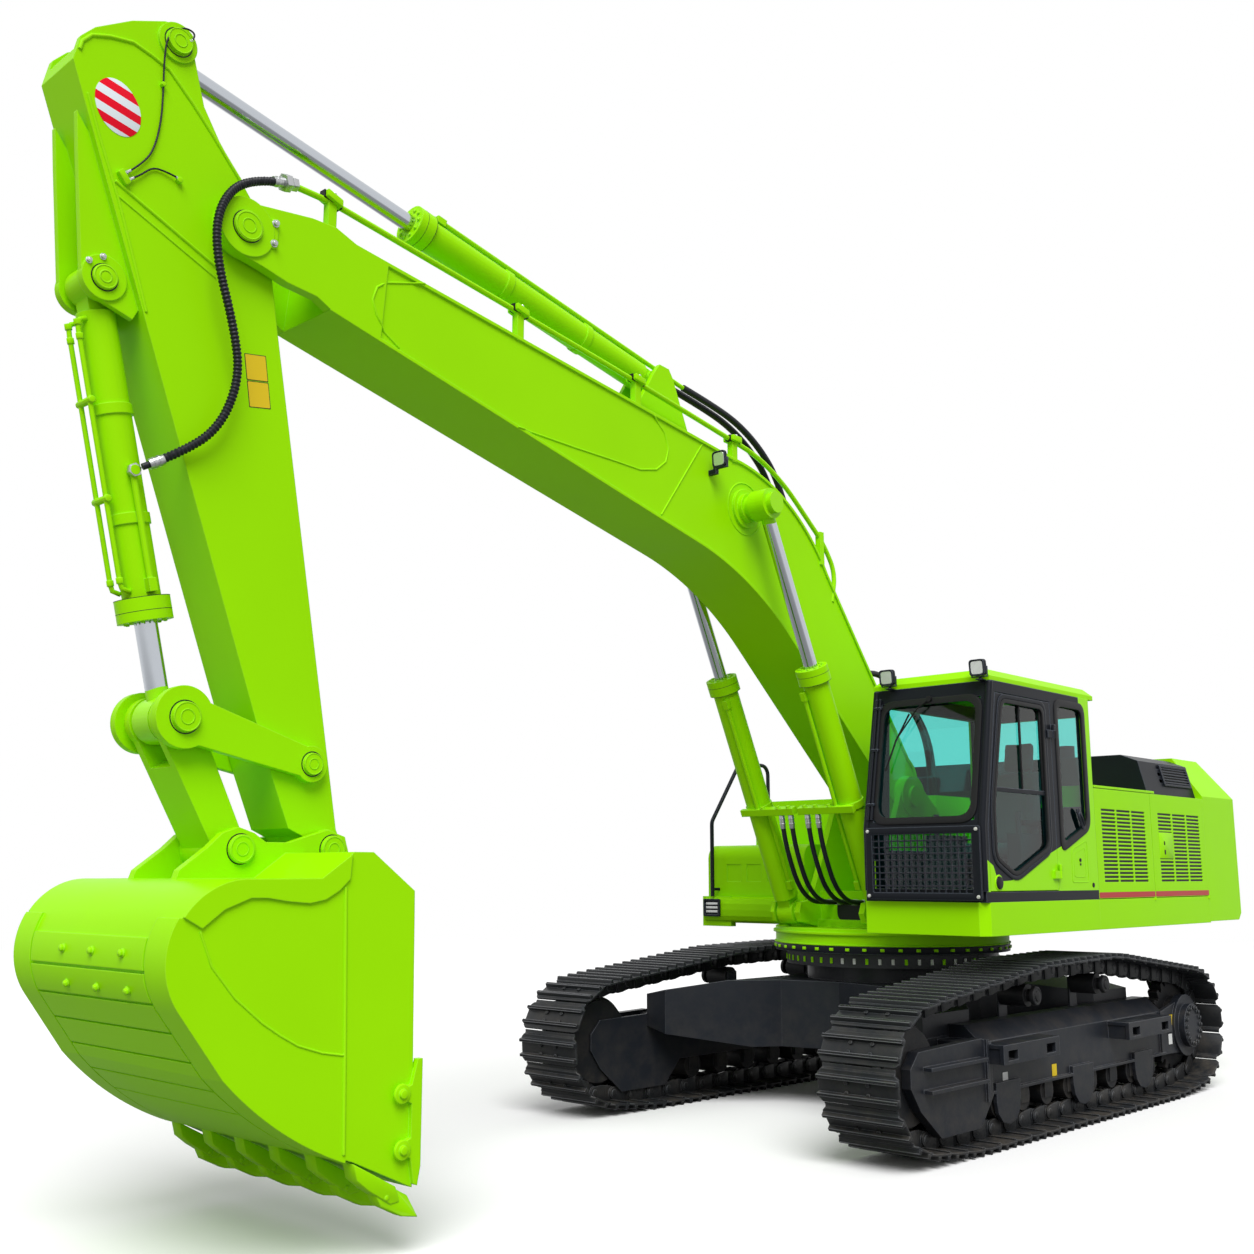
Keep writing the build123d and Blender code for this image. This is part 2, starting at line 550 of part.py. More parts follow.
# ---- House: fire wall, bay walls and top plates -----------------------------
FIRE_WALL_X = -1500.0
WALL = 40.0
BAY_INNER_Y = 640.0
VALVE_X = (-1050.0, -480.0)  # block that the boom's hoses rise from
with BuildPart() as house_frame:
    box((FIRE_WALL_X - WALL, FIRE_WALL_X), (-DECK_EDGE, DECK_EDGE), (DECK_TOP, HOUSE_TOP))
    box((FIRE_WALL_X, CAB_REAR_X - 20), (BAY_INNER_Y, BAY_INNER_Y + WALL), (DECK_TOP, HOUSE_TOP))
    box((CAB_REAR_X - 20 - WALL, CAB_REAR_X - 20), (BAY_INNER_Y + WALL, DECK_EDGE), (DECK_TOP, HOUSE_TOP))
    box((FIRE_WALL_X - WALL, CAB_REAR_X - 20), (BAY_INNER_Y, HOUSE_HALF_WIDTH), (HOUSE_TOP, HOUSE_TOP + 20))
    box((HOUSE_REAR_X, HOUSE_REAR_X + WALL), (-DECK_EDGE, DECK_EDGE), (DECK_TOP, HOUSE_TOP))
    box(VALVE_X, (-200, 200), (DECK_TOP + 60, HOUSE_TOP))
house_frame.part.label = "house_frame"
export_step(house_frame.part, "parts/house_frame.step")

HOOD_FRONT_X = -1550.0
HOOD_REAR_X = HOUSE_REAR_X
HOOD_TOP = HOUSE_TOP + 350
HOOD_SLOTS_X = (HOOD_REAR_X + HOOD_FRONT_X) / 2 - 180
with BuildPart() as engine_hood:
    hood = [(HOUSE_HALF_WIDTH - 60, HOUSE_TOP), (HOUSE_HALF_WIDTH - 130, HOOD_TOP - 60),
            (HOUSE_HALF_WIDTH - 280, HOOD_TOP)]
    along(hood + [(-y, z) for y, z in hood[::-1]], HOOD_REAR_X, HOOD_FRONT_X)
    # Air slots in both flanks.
    for y in (-HOUSE_HALF_WIDTH + 125, HOUSE_HALF_WIDTH - 35):
        with BuildSketch(Plane.XZ.offset(-y)) as air:
            with Locations((HOOD_SLOTS_X, HOUSE_TOP + 190)):
                with GridLocations(150, 60, 5, 3):
                    Rectangle(120, 32)
        extrude(air.sketch, amount=90, mode=Mode.SUBTRACT)
engine_hood.part.label = "engine_hood"
export_step(engine_hood.part, "parts/engine_hood.step")

with BuildPart() as engine_block:
    box((HOUSE_REAR_X + WALL + 100, FIRE_WALL_X - WALL - 60), (-1200, 1200), (DECK_TOP, HOUSE_TOP - 60))
engine_block.part.label = "engine_block"
export_step(engine_block.part, "parts/engine_block.step")

with BuildPart() as cooler:
    box((FIRE_WALL_X + 60, CAB_REAR_X - 120), (1180, 1420), (DECK_TOP, HOUSE_TOP - 60))
cooler.part.label = "cooler"
export_step(cooler.part, "parts/cooler.step")

with BuildPart() as exhaust:
    with BuildSketch(Plane.XY.offset(HOOD_TOP)):
        with Locations((HOOD_FRONT_X - 600, 620)):
            Circle(75)
            Circle(62, mode=Mode.SUBTRACT)
    extrude(amount=160)
exhaust.part.label = "exhaust"
export_step(exhaust.part, "parts/exhaust.step")

# ---- Side doors with louvres ------------------------------------------------
VENT_ROWS = 19
VENT_STEP = 31.0
VENT_MIDDLE_Z = 2050.0


def side_door(x_rear, x_front, y_in, y_out, vents):
    """A flat side door; each vent is an x range of one column of slots."""
    box((x_rear, x_front), (y_in, y_out), (DOOR_LOW, DOOR_HIGH))
    with BuildSketch(Plane.XZ.offset(-y_out)) as slots:
        for x0, x1 in vents:
            with Locations(((x0 + x1) / 2, VENT_MIDDLE_Z)):
                with GridLocations(0, VENT_STEP, 1, VENT_ROWS):
                    Rectangle(x1 - x0, VENT_STEP * 0.55)
    extrude(slots.sketch, amount=14, mode=Mode.SUBTRACT)


with BuildPart() as vent_door_front:
    side_door(DOOR_SPLIT_X + JOINT_GAP, CAB_REAR_X - JOINT_GAP, DECK_EDGE + JOINT_GAP, HOUSE_HALF_WIDTH,
              ((-1310, -1050), (-1025, -765), (-740, -480)))
vent_door_front.part.label = "vent_door_front"
export_step(vent_door_front.part, "parts/vent_door_front.step")
with BuildPart() as vent_door_rear:
    side_door(HOUSE_REAR_X, DOOR_SPLIT_X - JOINT_GAP, DECK_EDGE + JOINT_GAP, HOUSE_HALF_WIDTH,
              ((-2480, -2200), (-2170, -1890), (-1860, -1580)))
vent_door_rear.part.label = "vent_door_rear"
export_step(vent_door_rear.part, "parts/vent_door_rear.step")
with BuildPart() as pump_door:
    box((HOUSE_REAR_X, DOOR_SPLIT_X - JOINT_GAP), (-HOUSE_HALF_WIDTH, -DECK_EDGE - JOINT_GAP),
        (DOOR_LOW, DOOR_HIGH))
pump_door.part.label = "pump_door"
export_step(pump_door.part, "parts/pump_door.step")

# ---- Right side: tank and stepped tool box ----------------------------------
with BuildPart() as fuel_tank:
    box((DOOR_SPLIT_X + JOINT_GAP, -340), (-HOUSE_HALF_WIDTH, -620), (DECK_TOP, HOUSE_TOP))
    edges = fuel_tank.edges().filter_by(Axis.X).group_by(Axis.Z)[-1]
    fillet(edges, 60)
    box((FIRE_WALL_X, TANK_FRONT_X), (-HOUSE_HALF_WIDTH, -DECK_EDGE), (DECK_LOW, SKIRT_TOP + SEAT),
        Mode.SUBTRACT)
fuel_tank.part.label = "fuel_tank"
export_step(fuel_tank.part, "parts/fuel_tank.step")
TOOL_BOX_TOP = 2080.0
with BuildPart() as tool_box:
    box((-340 + SEAT, TANK_FRONT_X), (-HOUSE_HALF_WIDTH + 10, -600), (DECK_TOP, TOOL_BOX_TOP))
    fillet(tool_box.edges().filter_by(Axis.Y).group_by(Axis.Z)[-1].sort_by(Axis.X)[-1], 120)
    box((-340, TANK_FRONT_X), (-HOUSE_HALF_WIDTH, -DECK_EDGE), (DECK_LOW, SKIRT_TOP + SEAT), Mode.SUBTRACT)
    with BuildSketch(Plane.YZ.offset(TANK_FRONT_X)) as steps:
        with Locations((-1150, TOOL_BOX_TOP - 245)):
            with GridLocations(225, 0, 3, 1):
                Rectangle(160, 150)
    extrude(steps.sketch, amount=-6, mode=Mode.SUBTRACT)
tool_box.part.label = "tool_box"
export_step(tool_box.part, "parts/tool_box.step")

RAIL_TUBE = 18.0
RAIL_X = 470.0
RAIL_Y = -1550.0
with BuildPart() as handrail:
    with BuildLine(Plane.XZ.offset(-RAIL_Y)) as rail_line:
        FilletPolyline((RAIL_X, SKIRT_TOP), (RAIL_X, 2290), (60, 2840), (-370, 2840), (-370, HOUSE_TOP),
                       radius=90)
    with BuildSketch(Plane(origin=(RAIL_X, RAIL_Y, SKIRT_TOP), z_dir=(0, 0, 1))):
        RegularPolygon(RAIL_TUBE, 8)
    sweep(path=rail_line.wires()[0])
    box((TANK_FRONT_X, RAIL_X), (RAIL_Y - 12, RAIL_Y + 12), (SKIRT_TOP + 50, SKIRT_TOP + 74))
handrail.part.label = "handrail"
export_step(handrail.part, "parts/handrail.step")

# ---- Cab --------------------------------------------------------------------
CAB_SILL_Z = 2160.0
CAB_BROW_X = 1200.0
CAB_LEFT_Y = HOUSE_HALF_WIDTH
CAB_MIDDLE_Y = (CAB_RIGHT_Y + CAB_LEFT_Y) / 2
CAB_HINGE = (DOOR_REAR_X, CAB_LEFT_Y + CAB_HINGE_OUT)
CAB_FLOOR = SKIRT_TOP + 60
lean = (CAB_FRONT_X - CAB_BROW_X) / (CAB_ROOF_Z - CAB_SILL_Z)


def front_x(z):
    """X of the leaning front face at a height."""
    return CAB_FRONT_X - max(0.0, z - CAB_SILL_Z) * lean


cab_side = [(CAB_REAR_X, SKIRT_TOP), (CAB_FRONT_X, SKIRT_TOP), (CAB_FRONT_X, CAB_SILL_Z),
            (CAB_BROW_X, CAB_ROOF_Z), (CAB_REAR_X, CAB_ROOF_Z)]
cab_inside = [(CAB_REAR_X + CAB_WALL, CAB_FLOOR), (CAB_FRONT_X - CAB_WALL, CAB_FLOOR),
              (CAB_FRONT_X - CAB_WALL, CAB_SILL_Z), (front_x(CAB_ROOF_Z + 60) - CAB_WALL, CAB_ROOF_Z + 60),
              (CAB_REAR_X + CAB_WALL, CAB_ROOF_Z + 60)]
door_opening = [(DOOR_REAR_X, 1700), (CAB_FRONT_X - 60, 1700), (CAB_FRONT_X - 60, CAB_SILL_Z),
                (front_x(3120) - 60, 3120), (DOOR_REAR_X, 3120)]
QUARTER_WINDOW = [(-230, 2200), (200, 2040), (200, 3110), (-230, 3110)]
RIGHT_WINDOW = [(-200, 2000), (1150, 2000), (1080, 3080), (-200, 3080)]
SHIELD_Y = (CAB_RIGHT_Y + 75, CAB_LEFT_Y - 75)
SHIELD_UPPER_Z = (2200.0, 3090.0)
SHIELD_LOWER_Z = (1720.0, 2110.0)
REAR_WINDOW_Z = (2350.0, 3060.0)
with BuildPart() as cab_frame:
    across(cab_side, CAB_RIGHT_Y, CAB_LEFT_Y)
    across(cab_inside, CAB_RIGHT_Y + CAB_WALL, CAB_LEFT_Y - CAB_WALL, Mode.SUBTRACT)
    across(door_opening, CAB_LEFT_Y - CAB_WALL - 5, CAB_LEFT_Y + 5, Mode.SUBTRACT)
    across(QUARTER_WINDOW, CAB_LEFT_Y - CAB_WALL - 5, CAB_LEFT_Y + 5, Mode.SUBTRACT)
    across(RIGHT_WINDOW, CAB_RIGHT_Y - 5, CAB_RIGHT_Y + CAB_WALL + 5, Mode.SUBTRACT)
    for z in (SHIELD_UPPER_Z, SHIELD_LOWER_Z):
        box((CAB_BROW_X - 100, CAB_FRONT_X + 10), SHIELD_Y, z, Mode.SUBTRACT)
    box((CAB_REAR_X - 10, CAB_REAR_X + CAB_WALL + 10), SHIELD_Y, REAR_WINDOW_Z, Mode.SUBTRACT)
    for z in CAB_HINGE_Z:
        post(*CAB_HINGE, 11, z, z + 45)
        box((CAB_HINGE[0] - 32, CAB_HINGE[0] - 6), (CAB_LEFT_Y - 5, CAB_HINGE[1] + 8), (z, z + 45))
cab_frame.part.label = "cab_frame"
export_step(cab_frame.part, "parts/cab_frame.step")

with BuildPart() as cab_roof:
    box((CAB_REAR_X - 110, CAB_BROW_X), (CAB_RIGHT_Y - 10, CAB_LEFT_Y - 10), (CAB_ROOF_Z, CAB_ROOF_Z + 90))
    chamfer(cab_roof.faces().sort_by(Axis.Z)[-1].edges(), 55)
cab_roof.part.label = "cab_roof"
export_step(cab_roof.part, "parts/cab_roof.step")


def pane(points, y_low, y_high, mode=Mode.ADD):
    """A flat pane that fits an X-Z opening with a small gap all round."""
    with BuildSketch(Plane.XZ.offset(-y_high)) as face:
        with BuildLine():
            Polyline(*points, close=True)
        make_face()
        offset(amount=-SEAT, kind=Kind.INTERSECTION, mode=Mode.REPLACE)
    extrude(face.sketch, amount=y_high - y_low, mode=mode)


with BuildPart() as cab_glass:
    pane(QUARTER_WINDOW, CAB_LEFT_Y - 26, CAB_LEFT_Y - 26 + GLASS)
    pane(RIGHT_WINDOW, CAB_RIGHT_Y + 18, CAB_RIGHT_Y + 18 + GLASS)
    for low, high in (SHIELD_UPPER_Z, SHIELD_LOWER_Z):
        low, high = low + SEAT, high - SEAT
        across([(front_x(low) - 20 - GLASS, low), (front_x(low) - 20, low), (front_x(high) - 20, high),
                (front_x(high) - 20 - GLASS, high)], SHIELD_Y[0] + SEAT, SHIELD_Y[1] - SEAT)
    box((CAB_REAR_X + 18, CAB_REAR_X + 18 + GLASS), (SHIELD_Y[0] + SEAT, SHIELD_Y[1] - SEAT),
        (REAR_WINDOW_Z[0] + SEAT, REAR_WINDOW_Z[1] - SEAT))
cab_glass.part.label = "cab_glass"
export_step(cab_glass.part, "parts/cab_glass.step")

door_window = [(440, 2020), (970, 1820), (1240, 1940), (1240, 2300), (front_x(3060) - 160, 3060), (440, 3060)]
door_y = (CAB_LEFT_Y - PANEL, CAB_LEFT_Y)
with BuildPart() as cab_door:
    with BuildSketch(Plane.XZ.offset(-CAB_LEFT_Y)) as leaf:
        with BuildLine():
            Polyline(*door_opening, close=True)
        make_face()
        offset(amount=-JOINT_GAP - 1, kind=Kind.INTERSECTION, mode=Mode.REPLACE)
    extrude(leaf.sketch, amount=PANEL)
    across(door_window, door_y[0] - 5, door_y[1] + 5, Mode.SUBTRACT)
    box((430, front_x(2420) - 120), (door_y[0] + 5, door_y[1] - 5), (2405, 2435))
    for z in CAB_HINGE_Z:
        post(*CAB_HINGE, 11, z - SEAT - 60, z - SEAT)
        box((CAB_HINGE[0], CAB_HINGE[0] + 90), (CAB_HINGE[1] - 6, CAB_HINGE[1] + 2),
            (z - SEAT - 60, z - SEAT))
        box((CAB_HINGE[0] + 40, CAB_HINGE[0] + 90), (CAB_LEFT_Y - 5, CAB_HINGE[1] + 2),
            (z - SEAT - 60, z - SEAT))
cab_door.part.label = "cab_door"
export_step(cab_door.part, "parts/cab_door.step")
with BuildPart() as cab_door_glass:
    pane(door_window, door_y[0] + 12, door_y[0] + 12 + GLASS)
    box((430, front_x(2420) - 120), door_y, (2405 - SEAT, 2435 + SEAT), Mode.SUBTRACT)
cab_door_glass.part.label = "cab_door_glass"
export_step(cab_door_glass.part, "parts/cab_door_glass.step")

GUARD_STEP = 76.0
GUARD_WIRE = 12.0
GUARD_CELLS = (11, 6)
with BuildPart() as mesh_guard:
    gx = CAB_FRONT_X + 40
    box((gx, gx + 20), (CAB_RIGHT_Y + 40, CAB_LEFT_Y), (1640, CAB_SILL_Z))
    guard_middle = ((CAB_RIGHT_Y + 40 + CAB_LEFT_Y) / 2, (1640 + CAB_SILL_Z) / 2)
    with BuildSketch(Plane.YZ.offset(gx - 5)) as cells:
        with Locations(guard_middle):
            with GridLocations(GUARD_STEP, GUARD_STEP, GUARD_CELLS[0], GUARD_CELLS[1]):
                Rectangle(GUARD_STEP - GUARD_WIRE, GUARD_STEP - GUARD_WIRE)
    extrude(cells.sketch, amount=30, mode=Mode.SUBTRACT)
    for y in (CAB_RIGHT_Y + 60, CAB_LEFT_Y - 60):
        for z in (1670, CAB_SILL_Z - 30):
            box((CAB_FRONT_X, gx), (y - 15, y + 15), (z - 15, z + 15))
mesh_guard.part.label = "mesh_guard"
export_step(mesh_guard.part, "parts/mesh_guard.step")

with BuildPart() as operator_seat:
    box((80, 520), (CAB_MIDDLE_Y - 170, CAB_MIDDLE_Y + 170), (CAB_FLOOR, CAB_FLOOR + 240))
    across([(40, CAB_FLOOR + 240), (60, CAB_FLOOR + 300), (560, CAB_FLOOR + 370), (590, CAB_FLOOR + 320),
            (560, CAB_FLOOR + 240)], CAB_MIDDLE_Y - 260, CAB_MIDDLE_Y + 260)
    across([(60, CAB_FLOOR + 300), (-130, CAB_FLOOR + 930), (-60, CAB_FLOOR + 970), (10, CAB_FLOOR + 910),
            (190, CAB_FLOOR + 350)], CAB_MIDDLE_Y - 240, CAB_MIDDLE_Y + 240)
    across([(-140, CAB_FLOOR + 920), (-170, CAB_FLOOR + 1170), (-90, CAB_FLOOR + 1190),
            (-40, CAB_FLOOR + 950)],
           CAB_MIDDLE_Y - 130, CAB_MIDDLE_Y + 130)
operator_seat.part.label = "operator_seat"
export_step(operator_seat.part, "parts/operator_seat.step")

with BuildPart() as cab_controls:
    for y in (CAB_MIDDLE_Y - 345, CAB_MIDDLE_Y + 345):
        box((250, 700), (y - 55, y + 55), (CAB_FLOOR, CAB_FLOOR + 430))
        post(620, y, 22, CAB_FLOOR + 430, CAB_FLOOR + 590)
    box((980, 1040), (CAB_MIDDLE_Y - 100, CAB_MIDDLE_Y + 100), (CAB_FLOOR, CAB_FLOOR + 360))
cab_controls.part.label = "cab_controls"
export_step(cab_controls.part, "parts/cab_controls.step")

with BuildPart() as work_lamps:
    for y in (CAB_RIGHT_Y + 160, CAB_LEFT_Y - 60):
        box((CAB_BROW_X + SEAT, CAB_BROW_X + 80), (y - 12, y + 12), (CAB_ROOF_Z + 2, CAB_ROOF_Z + 30))
        box((CAB_BROW_X + 15, CAB_BROW_X + 95), (y - 62, y + 62), (CAB_ROOF_Z + 30, CAB_ROOF_Z + 150))
work_lamps.part.label = "work_lamps"
export_step(work_lamps.part, "parts/work_lamps.step")

# ---- Boom -------------------------------------------------------------------
HEAD_RADIUS = 165.0
EAR_PLATE_IN = ARM_HALF + 25
BOX_END_X = 5900.0
LIFT_BOSS_END = LIFT_PLANE - LIFT_BARREL["gland"]
hx, hz = BOOM_HEAD
ex, ez = LIFT_EYE
cx, cz = CROWD_FOOT

def boom_face(y, inward):
    """The boom's side outline on a plane, drawn in by the flanges' thickness."""
    with BuildSketch(Plane.XZ.offset(-y)) as face:
        with BuildLine():
            Line((5950, 4950), (BOX_END_X, 5415))
            Line((BOX_END_X, 5415), (2350, 4902))
            ThreePointArc((2350, 4902), (1660, 4680), (1160, 4190))
            Line((1160, 4190), (50, 2780))
            ThreePointArc((50, 2780), (-62, 2490), (fx + 105, fz - 127))
            Line((fx + 105, fz - 127), (1670, 3600))
            ThreePointArc((1670, 3600), (2150, 3935), (2720, 4160))
            Line((2720, 4160), (5950, 4950))
        make_face()
        if inward:
            offset(amount=-inward, kind=Kind.ARC, mode=Mode.REPLACE)
    return face.sketch


# Hoses as points (x, y, z); each begins and ends at a stub or a bracket.
PIPE_Y = 247.0
pipe_line = [(6235, PIPE_Y, 5612), (5960, PIPE_Y, 5606), (3380, PIPE_Y, 5218), (2040, PIPE_Y, 4990),
             (1690, PIPE_Y, 4830), (1190, PIPE_Y, 4450), (1030, PIPE_Y, 4230), (1090, PIPE_Y, 3980)]
ARM_HOSE = [(6275, PIPE_Y + 3, 5603), (6520, 275, 5530), (6700, 320, 5290), (6700, 320, 5010),
            (6560, 300, 4650),
            (6500, 282, 4390), (6590, 262, 4100), (6780, 222, 3930), (6950, 168, 3832)]
TOP_HOSE = [(2664, 5420), (2350, 5375), (2010, 5300), (1720, 5150), (1510, 4950), (1400, 4710)]
TOP_HOSE_Y = (45.0, -45.0)
OUTER_FOOT_HOSE = [(420, 3412), (130, 3560), (-230, 3540), (-580, 3360), (-860, 3100), (-960, 2800),
                   (-960, HOUSE_TOP)]
INNER_FOOT_HOSE = [(325, 3292), (110, 3370), (-150, 3330), (-390, 3170), (-520, 2950), (-560, 2720),
                   (-560, HOUSE_TOP)]
FOOT_HOSE_Y = 100.0
HOSE_THICK = 26.0
HOSE_THIN = 19.0


def at_y(points, y):
    """Give (x, z) points a y."""
    return [(x, y, z) for x, z in points]


def socket(hose, length, radius):
    """A round fitting that carries on from a hose's last run."""
    step = (Vector(hose[-1]) - Vector(hose[-2])).normalized()
    with BuildSketch(Plane(origin=hose[-1], z_dir=step)) as face:
        Circle(radius)
    extrude(face.sketch, amount=length)


boom_pipe = tube(pipe_line, 19)
with BuildPart() as boom:
    extrude(boom_face(BOOM_HALF, 0), amount=2 * BOOM_HALF)
    for y in (BOOM_HALF, -BOOM_HALF + BOOM_RECESS):
        extrude(boom_face(y, BOOM_FLANGE), amount=BOOM_RECESS, mode=Mode.SUBTRACT)
    # Foot bearing between the house brackets.
    pin(BOOM_FOOT, HEAD_RADIUS, -BRACKET_IN + SEAT, BRACKET_IN - SEAT)
    # Ear plates that straddle the arm.
    across_both([(5560, 5360), (5780, 5395), (5930, 5452), (6090, 5452), (hx - 60, hz + 154),
                 (hx + 60, hz + 154),
                 (hx + 154, hz + 60), (hx + 154, hz - 60), (hx + 60, hz - 154), (6380, 5060), (6230, 5020),
                 (6040, 5000), (5930, 4945), (5600, 4864)], EAR_PLATE_IN, BOOM_HALF)
    pin_both(BOOM_HEAD, HEAD_RADIUS, EAR_PLATE_IN, BOOM_HALF + 12)
    pin_both(BOOM_HEAD, 85, BOOM_HALF + 12, BOOM_HALF + 30)
    # Bosses for the boom cylinders' rods.
    pin_both(LIFT_EYE, 150, BOOM_HALF - BOOM_RECESS, BOOM_HALF + 6)
    pin_both(LIFT_EYE, 112, BOOM_HALF, LIFT_BOSS_END - SEAT)
    # Lugs for the arm cylinder's foot.
    across_both([(2690, 4930), (cx - 105, cz + 30), (cx - 60, cz + 95), (cx + 40, cz + 105),
                 (cx + 110, cz + 10),
                 (cx + 330, 5020)], CROWD_BARREL["radius"] + 8, CROWD_BARREL["radius"] + 46)
    # Steel pipe above the left edge, on blocks, and the stubs that the hoses screw on.
    add(boom_pipe)
    for x, z_low, z_high in ((5960, 5400, 5630), (4510, 5190, 5405), (3400, 5040, 5240), (2330, 4870, 5060)):
        box((x - 28, x + 28), (PIPE_Y - 30, BOOM_HALF - 2), (z_low, z_high))
    box((1210, 1260), (PIPE_Y - 24, PIPE_Y + 24), (4260, 4530))
    for y in TOP_HOSE_Y:
        socket(at_y(TOP_HOSE, y), 640, 24)
    socket(ARM_HOSE[::-1], 60, 28)
    socket(at_y(INNER_FOOT_HOSE, FOOT_HOSE_Y)[::-1], 150, 34)
    socket(at_y(OUTER_FOOT_HOSE, -FOOT_HOSE_Y)[::-1], 150, 34)
boom.part.label = "boom"
export_step(boom.part, "parts/boom.step")

with BuildPart() as boom_lamp:
    box((2590, 2645), (BOOM_HALF + 25, BOOM_HALF + 155), (4745, 4870))
    box((2600, 2635), (BOOM_HALF - BOOM_RECESS, BOOM_HALF + 60), (4700, 4745))
boom_lamp.part.label = "boom_lamp"
export_step(boom_lamp.part, "parts/boom_lamp.step")

# ---- Hoses on the boom ------------------------------------------------------
arm_hose = tube(ARM_HOSE, HOSE_THIN + 3)
arm_hose.label = "arm_hose"
export_step(arm_hose, "parts/arm_hose.step")
top_hose_left = tube(at_y(TOP_HOSE, TOP_HOSE_Y[0]), HOSE_THICK)
top_hose_left.label = "top_hose_left"
export_step(top_hose_left, "parts/top_hose_left.step")
top_hose_right = tube(at_y(TOP_HOSE, TOP_HOSE_Y[1]), HOSE_THICK)
top_hose_right.label = "top_hose_right"
export_step(top_hose_right, "parts/top_hose_right.step")
foot_hose_left = tube(at_y(INNER_FOOT_HOSE, FOOT_HOSE_Y), HOSE_THICK)
foot_hose_left.label = "foot_hose_left"
export_step(foot_hose_left, "parts/foot_hose_left.step")
foot_hose_right = tube(at_y(OUTER_FOOT_HOSE, -FOOT_HOSE_Y), HOSE_THICK)
foot_hose_right.label = "foot_hose_right"
export_step(foot_hose_right, "parts/foot_hose_right.step")

# ---- Arm --------------------------------------------------------------------
kx, kz = CURL_FOOT
rx, rz = ROCKER_PIN
tx, tz = BUCKET_PIN
ax, az = CROWD_EYE
TIP_RADIUS = 105.0
ROCKER_EYE = 97.0
ARM_EAR = 110.0
arm_side = [(tx - 98, tz + 38), (5722, 2060), (6230, 4780), (6280, 5070), (6338, 5250), (6415, 5450),
            (6640, 5730),
            (6740, 5890), (ax - 105, az - 40), (ax - 80, az + 75), (ax, az + ARM_EAR), (6990, 6275),
            (7170, 6190),
            (7360, 6060), (7430, 5980), (7460, 5840), (6160, 2390), (6020, 2060), (5930, 2020),
            (tx + 105, tz),
            (tx + 60, tz - 86), (tx - 20, tz - 103), (tx - 90, tz - 54)]
with BuildPart() as arm:
    across(arm_side, -ARM_HALF, ARM_HALF)
    # Pocket between the rear plates, where the arm cylinder's rod swings.
    across([(6380, 5600), (6640, 5680), (6780, 5790), (7090, 5795), (7480, 5930), (7480, 6420), (6380, 6420)],
           -ARM_HALF + ARM_PLATE, ARM_HALF - ARM_PLATE, Mode.SUBTRACT)
    pin_both(CROWD_EYE, ARM_EAR, ARM_HALF - ARM_PLATE, ARM_HALF + 14)
    pin_both(CROWD_EYE, 68, ARM_HALF, ARM_HALF + 40)
    pin_both(BOOM_HEAD, HEAD_RADIUS - 15, ARM_HALF, EAR_PLATE_IN - SEAT)
    pin(BOOM_HEAD, HEAD_RADIUS - 15, -ARM_HALF, ARM_HALF)
    # Lugs for the bucket cylinder's foot.
    across_both([(7330, 5500), (7404, 5600), (7385, 5390), (kx + 118, kz + 20), (kx + 95, kz - 70),
                 (kx, kz - 118),
                 (kx - 165, kz - 170), (6990, 4700), (7100, 5100)], CURL_LUG_IN, CURL_LUG_OUT)
    pin_both(CURL_FOOT, 118, CURL_LUG_IN, CURL_LUG_OUT + 12)
    pin_both(ROCKER_PIN, ROCKER_EYE, ARM_HALF, ROCKER_IN - SEAT)
    pin_both(BUCKET_PIN, TIP_RADIUS, ARM_HALF, EAR_IN - SEAT)
arm.part.label = "arm"
export_step(arm.part, "parts/arm.step")

# ---- Bucket linkage ---------------------------------------------------------
mx, mz = LINK_PIN
qx, qz = HITCH_PIN
LINK_EYE = 125.0
HITCH_EYE = 105.0
ROCKER_BOSS = 158.0


def dumbbell(a, b, radius_a, radius_b, waist_a, waist_b, y_low, y_high, mode=Mode.ADD):
    """Two round eyes joined by a tapering waist."""
    (xa, za), (xb, zb) = a, b
    span = hypot(xb - xa, zb - za)
    nx, nz = -(zb - za) / span, (xb - xa) / span
    across([(xa + nx * waist_a, za + nz * waist_a), (xb + nx * waist_b, zb + nz * waist_b),
            (xb - nx * waist_b, zb - nz * waist_b), (xa - nx * waist_a, za - nz * waist_a)], y_low, y_high,
            mode)
    pin(a, radius_a, y_low, y_high, mode)
    pin(b, radius_b, y_low, y_high, mode)


with BuildPart() as rocker_links:
    for y_low, y_high in ((ROCKER_IN, ROCKER_OUT), (-ROCKER_OUT, -ROCKER_IN)):
        dumbbell(LINK_PIN, ROCKER_PIN, ROCKER_BOSS, ROCKER_EYE, 118, 78, y_low, y_high)
    pin_both(LINK_PIN, 75, ROCKER_OUT, ROCKER_OUT + 25)
    pin_both(ROCKER_PIN, 57, ROCKER_OUT, ROCKER_OUT + 18)
rocker_links.part.label = "rocker_links"
export_step(rocker_links.part, "parts/rocker_links.step")

FORK_GAP = 100.0
with BuildPart() as h_link:
    dumbbell(LINK_PIN, HITCH_PIN, LINK_EYE, HITCH_EYE, 112, 88, -LINK_HALF, LINK_HALF)
    # Open fork round the bucket cylinder's rod eye.
    link_angle = atan2(mz - qz, mx - qx)
    ux, uz = cos(link_angle), sin(link_angle)
    across([(mx - 215 * ux - 160 * uz, mz - 215 * uz + 160 * ux),
            (mx + 300 * ux - 160 * uz, mz + 300 * uz + 160 * ux),
            (mx + 300 * ux + 160 * uz, mz + 300 * uz - 160 * ux),
            (mx - 215 * ux + 160 * uz, mz - 215 * uz - 160 * ux)],
           -FORK_GAP, FORK_GAP, Mode.SUBTRACT)
    pin_both(LINK_PIN, LINK_EYE - 20, LINK_HALF, ROCKER_IN - SEAT)
    pin_both(HITCH_PIN, HITCH_EYE - 8, LINK_HALF, EAR_IN - SEAT)
h_link.part.label = "h_link"
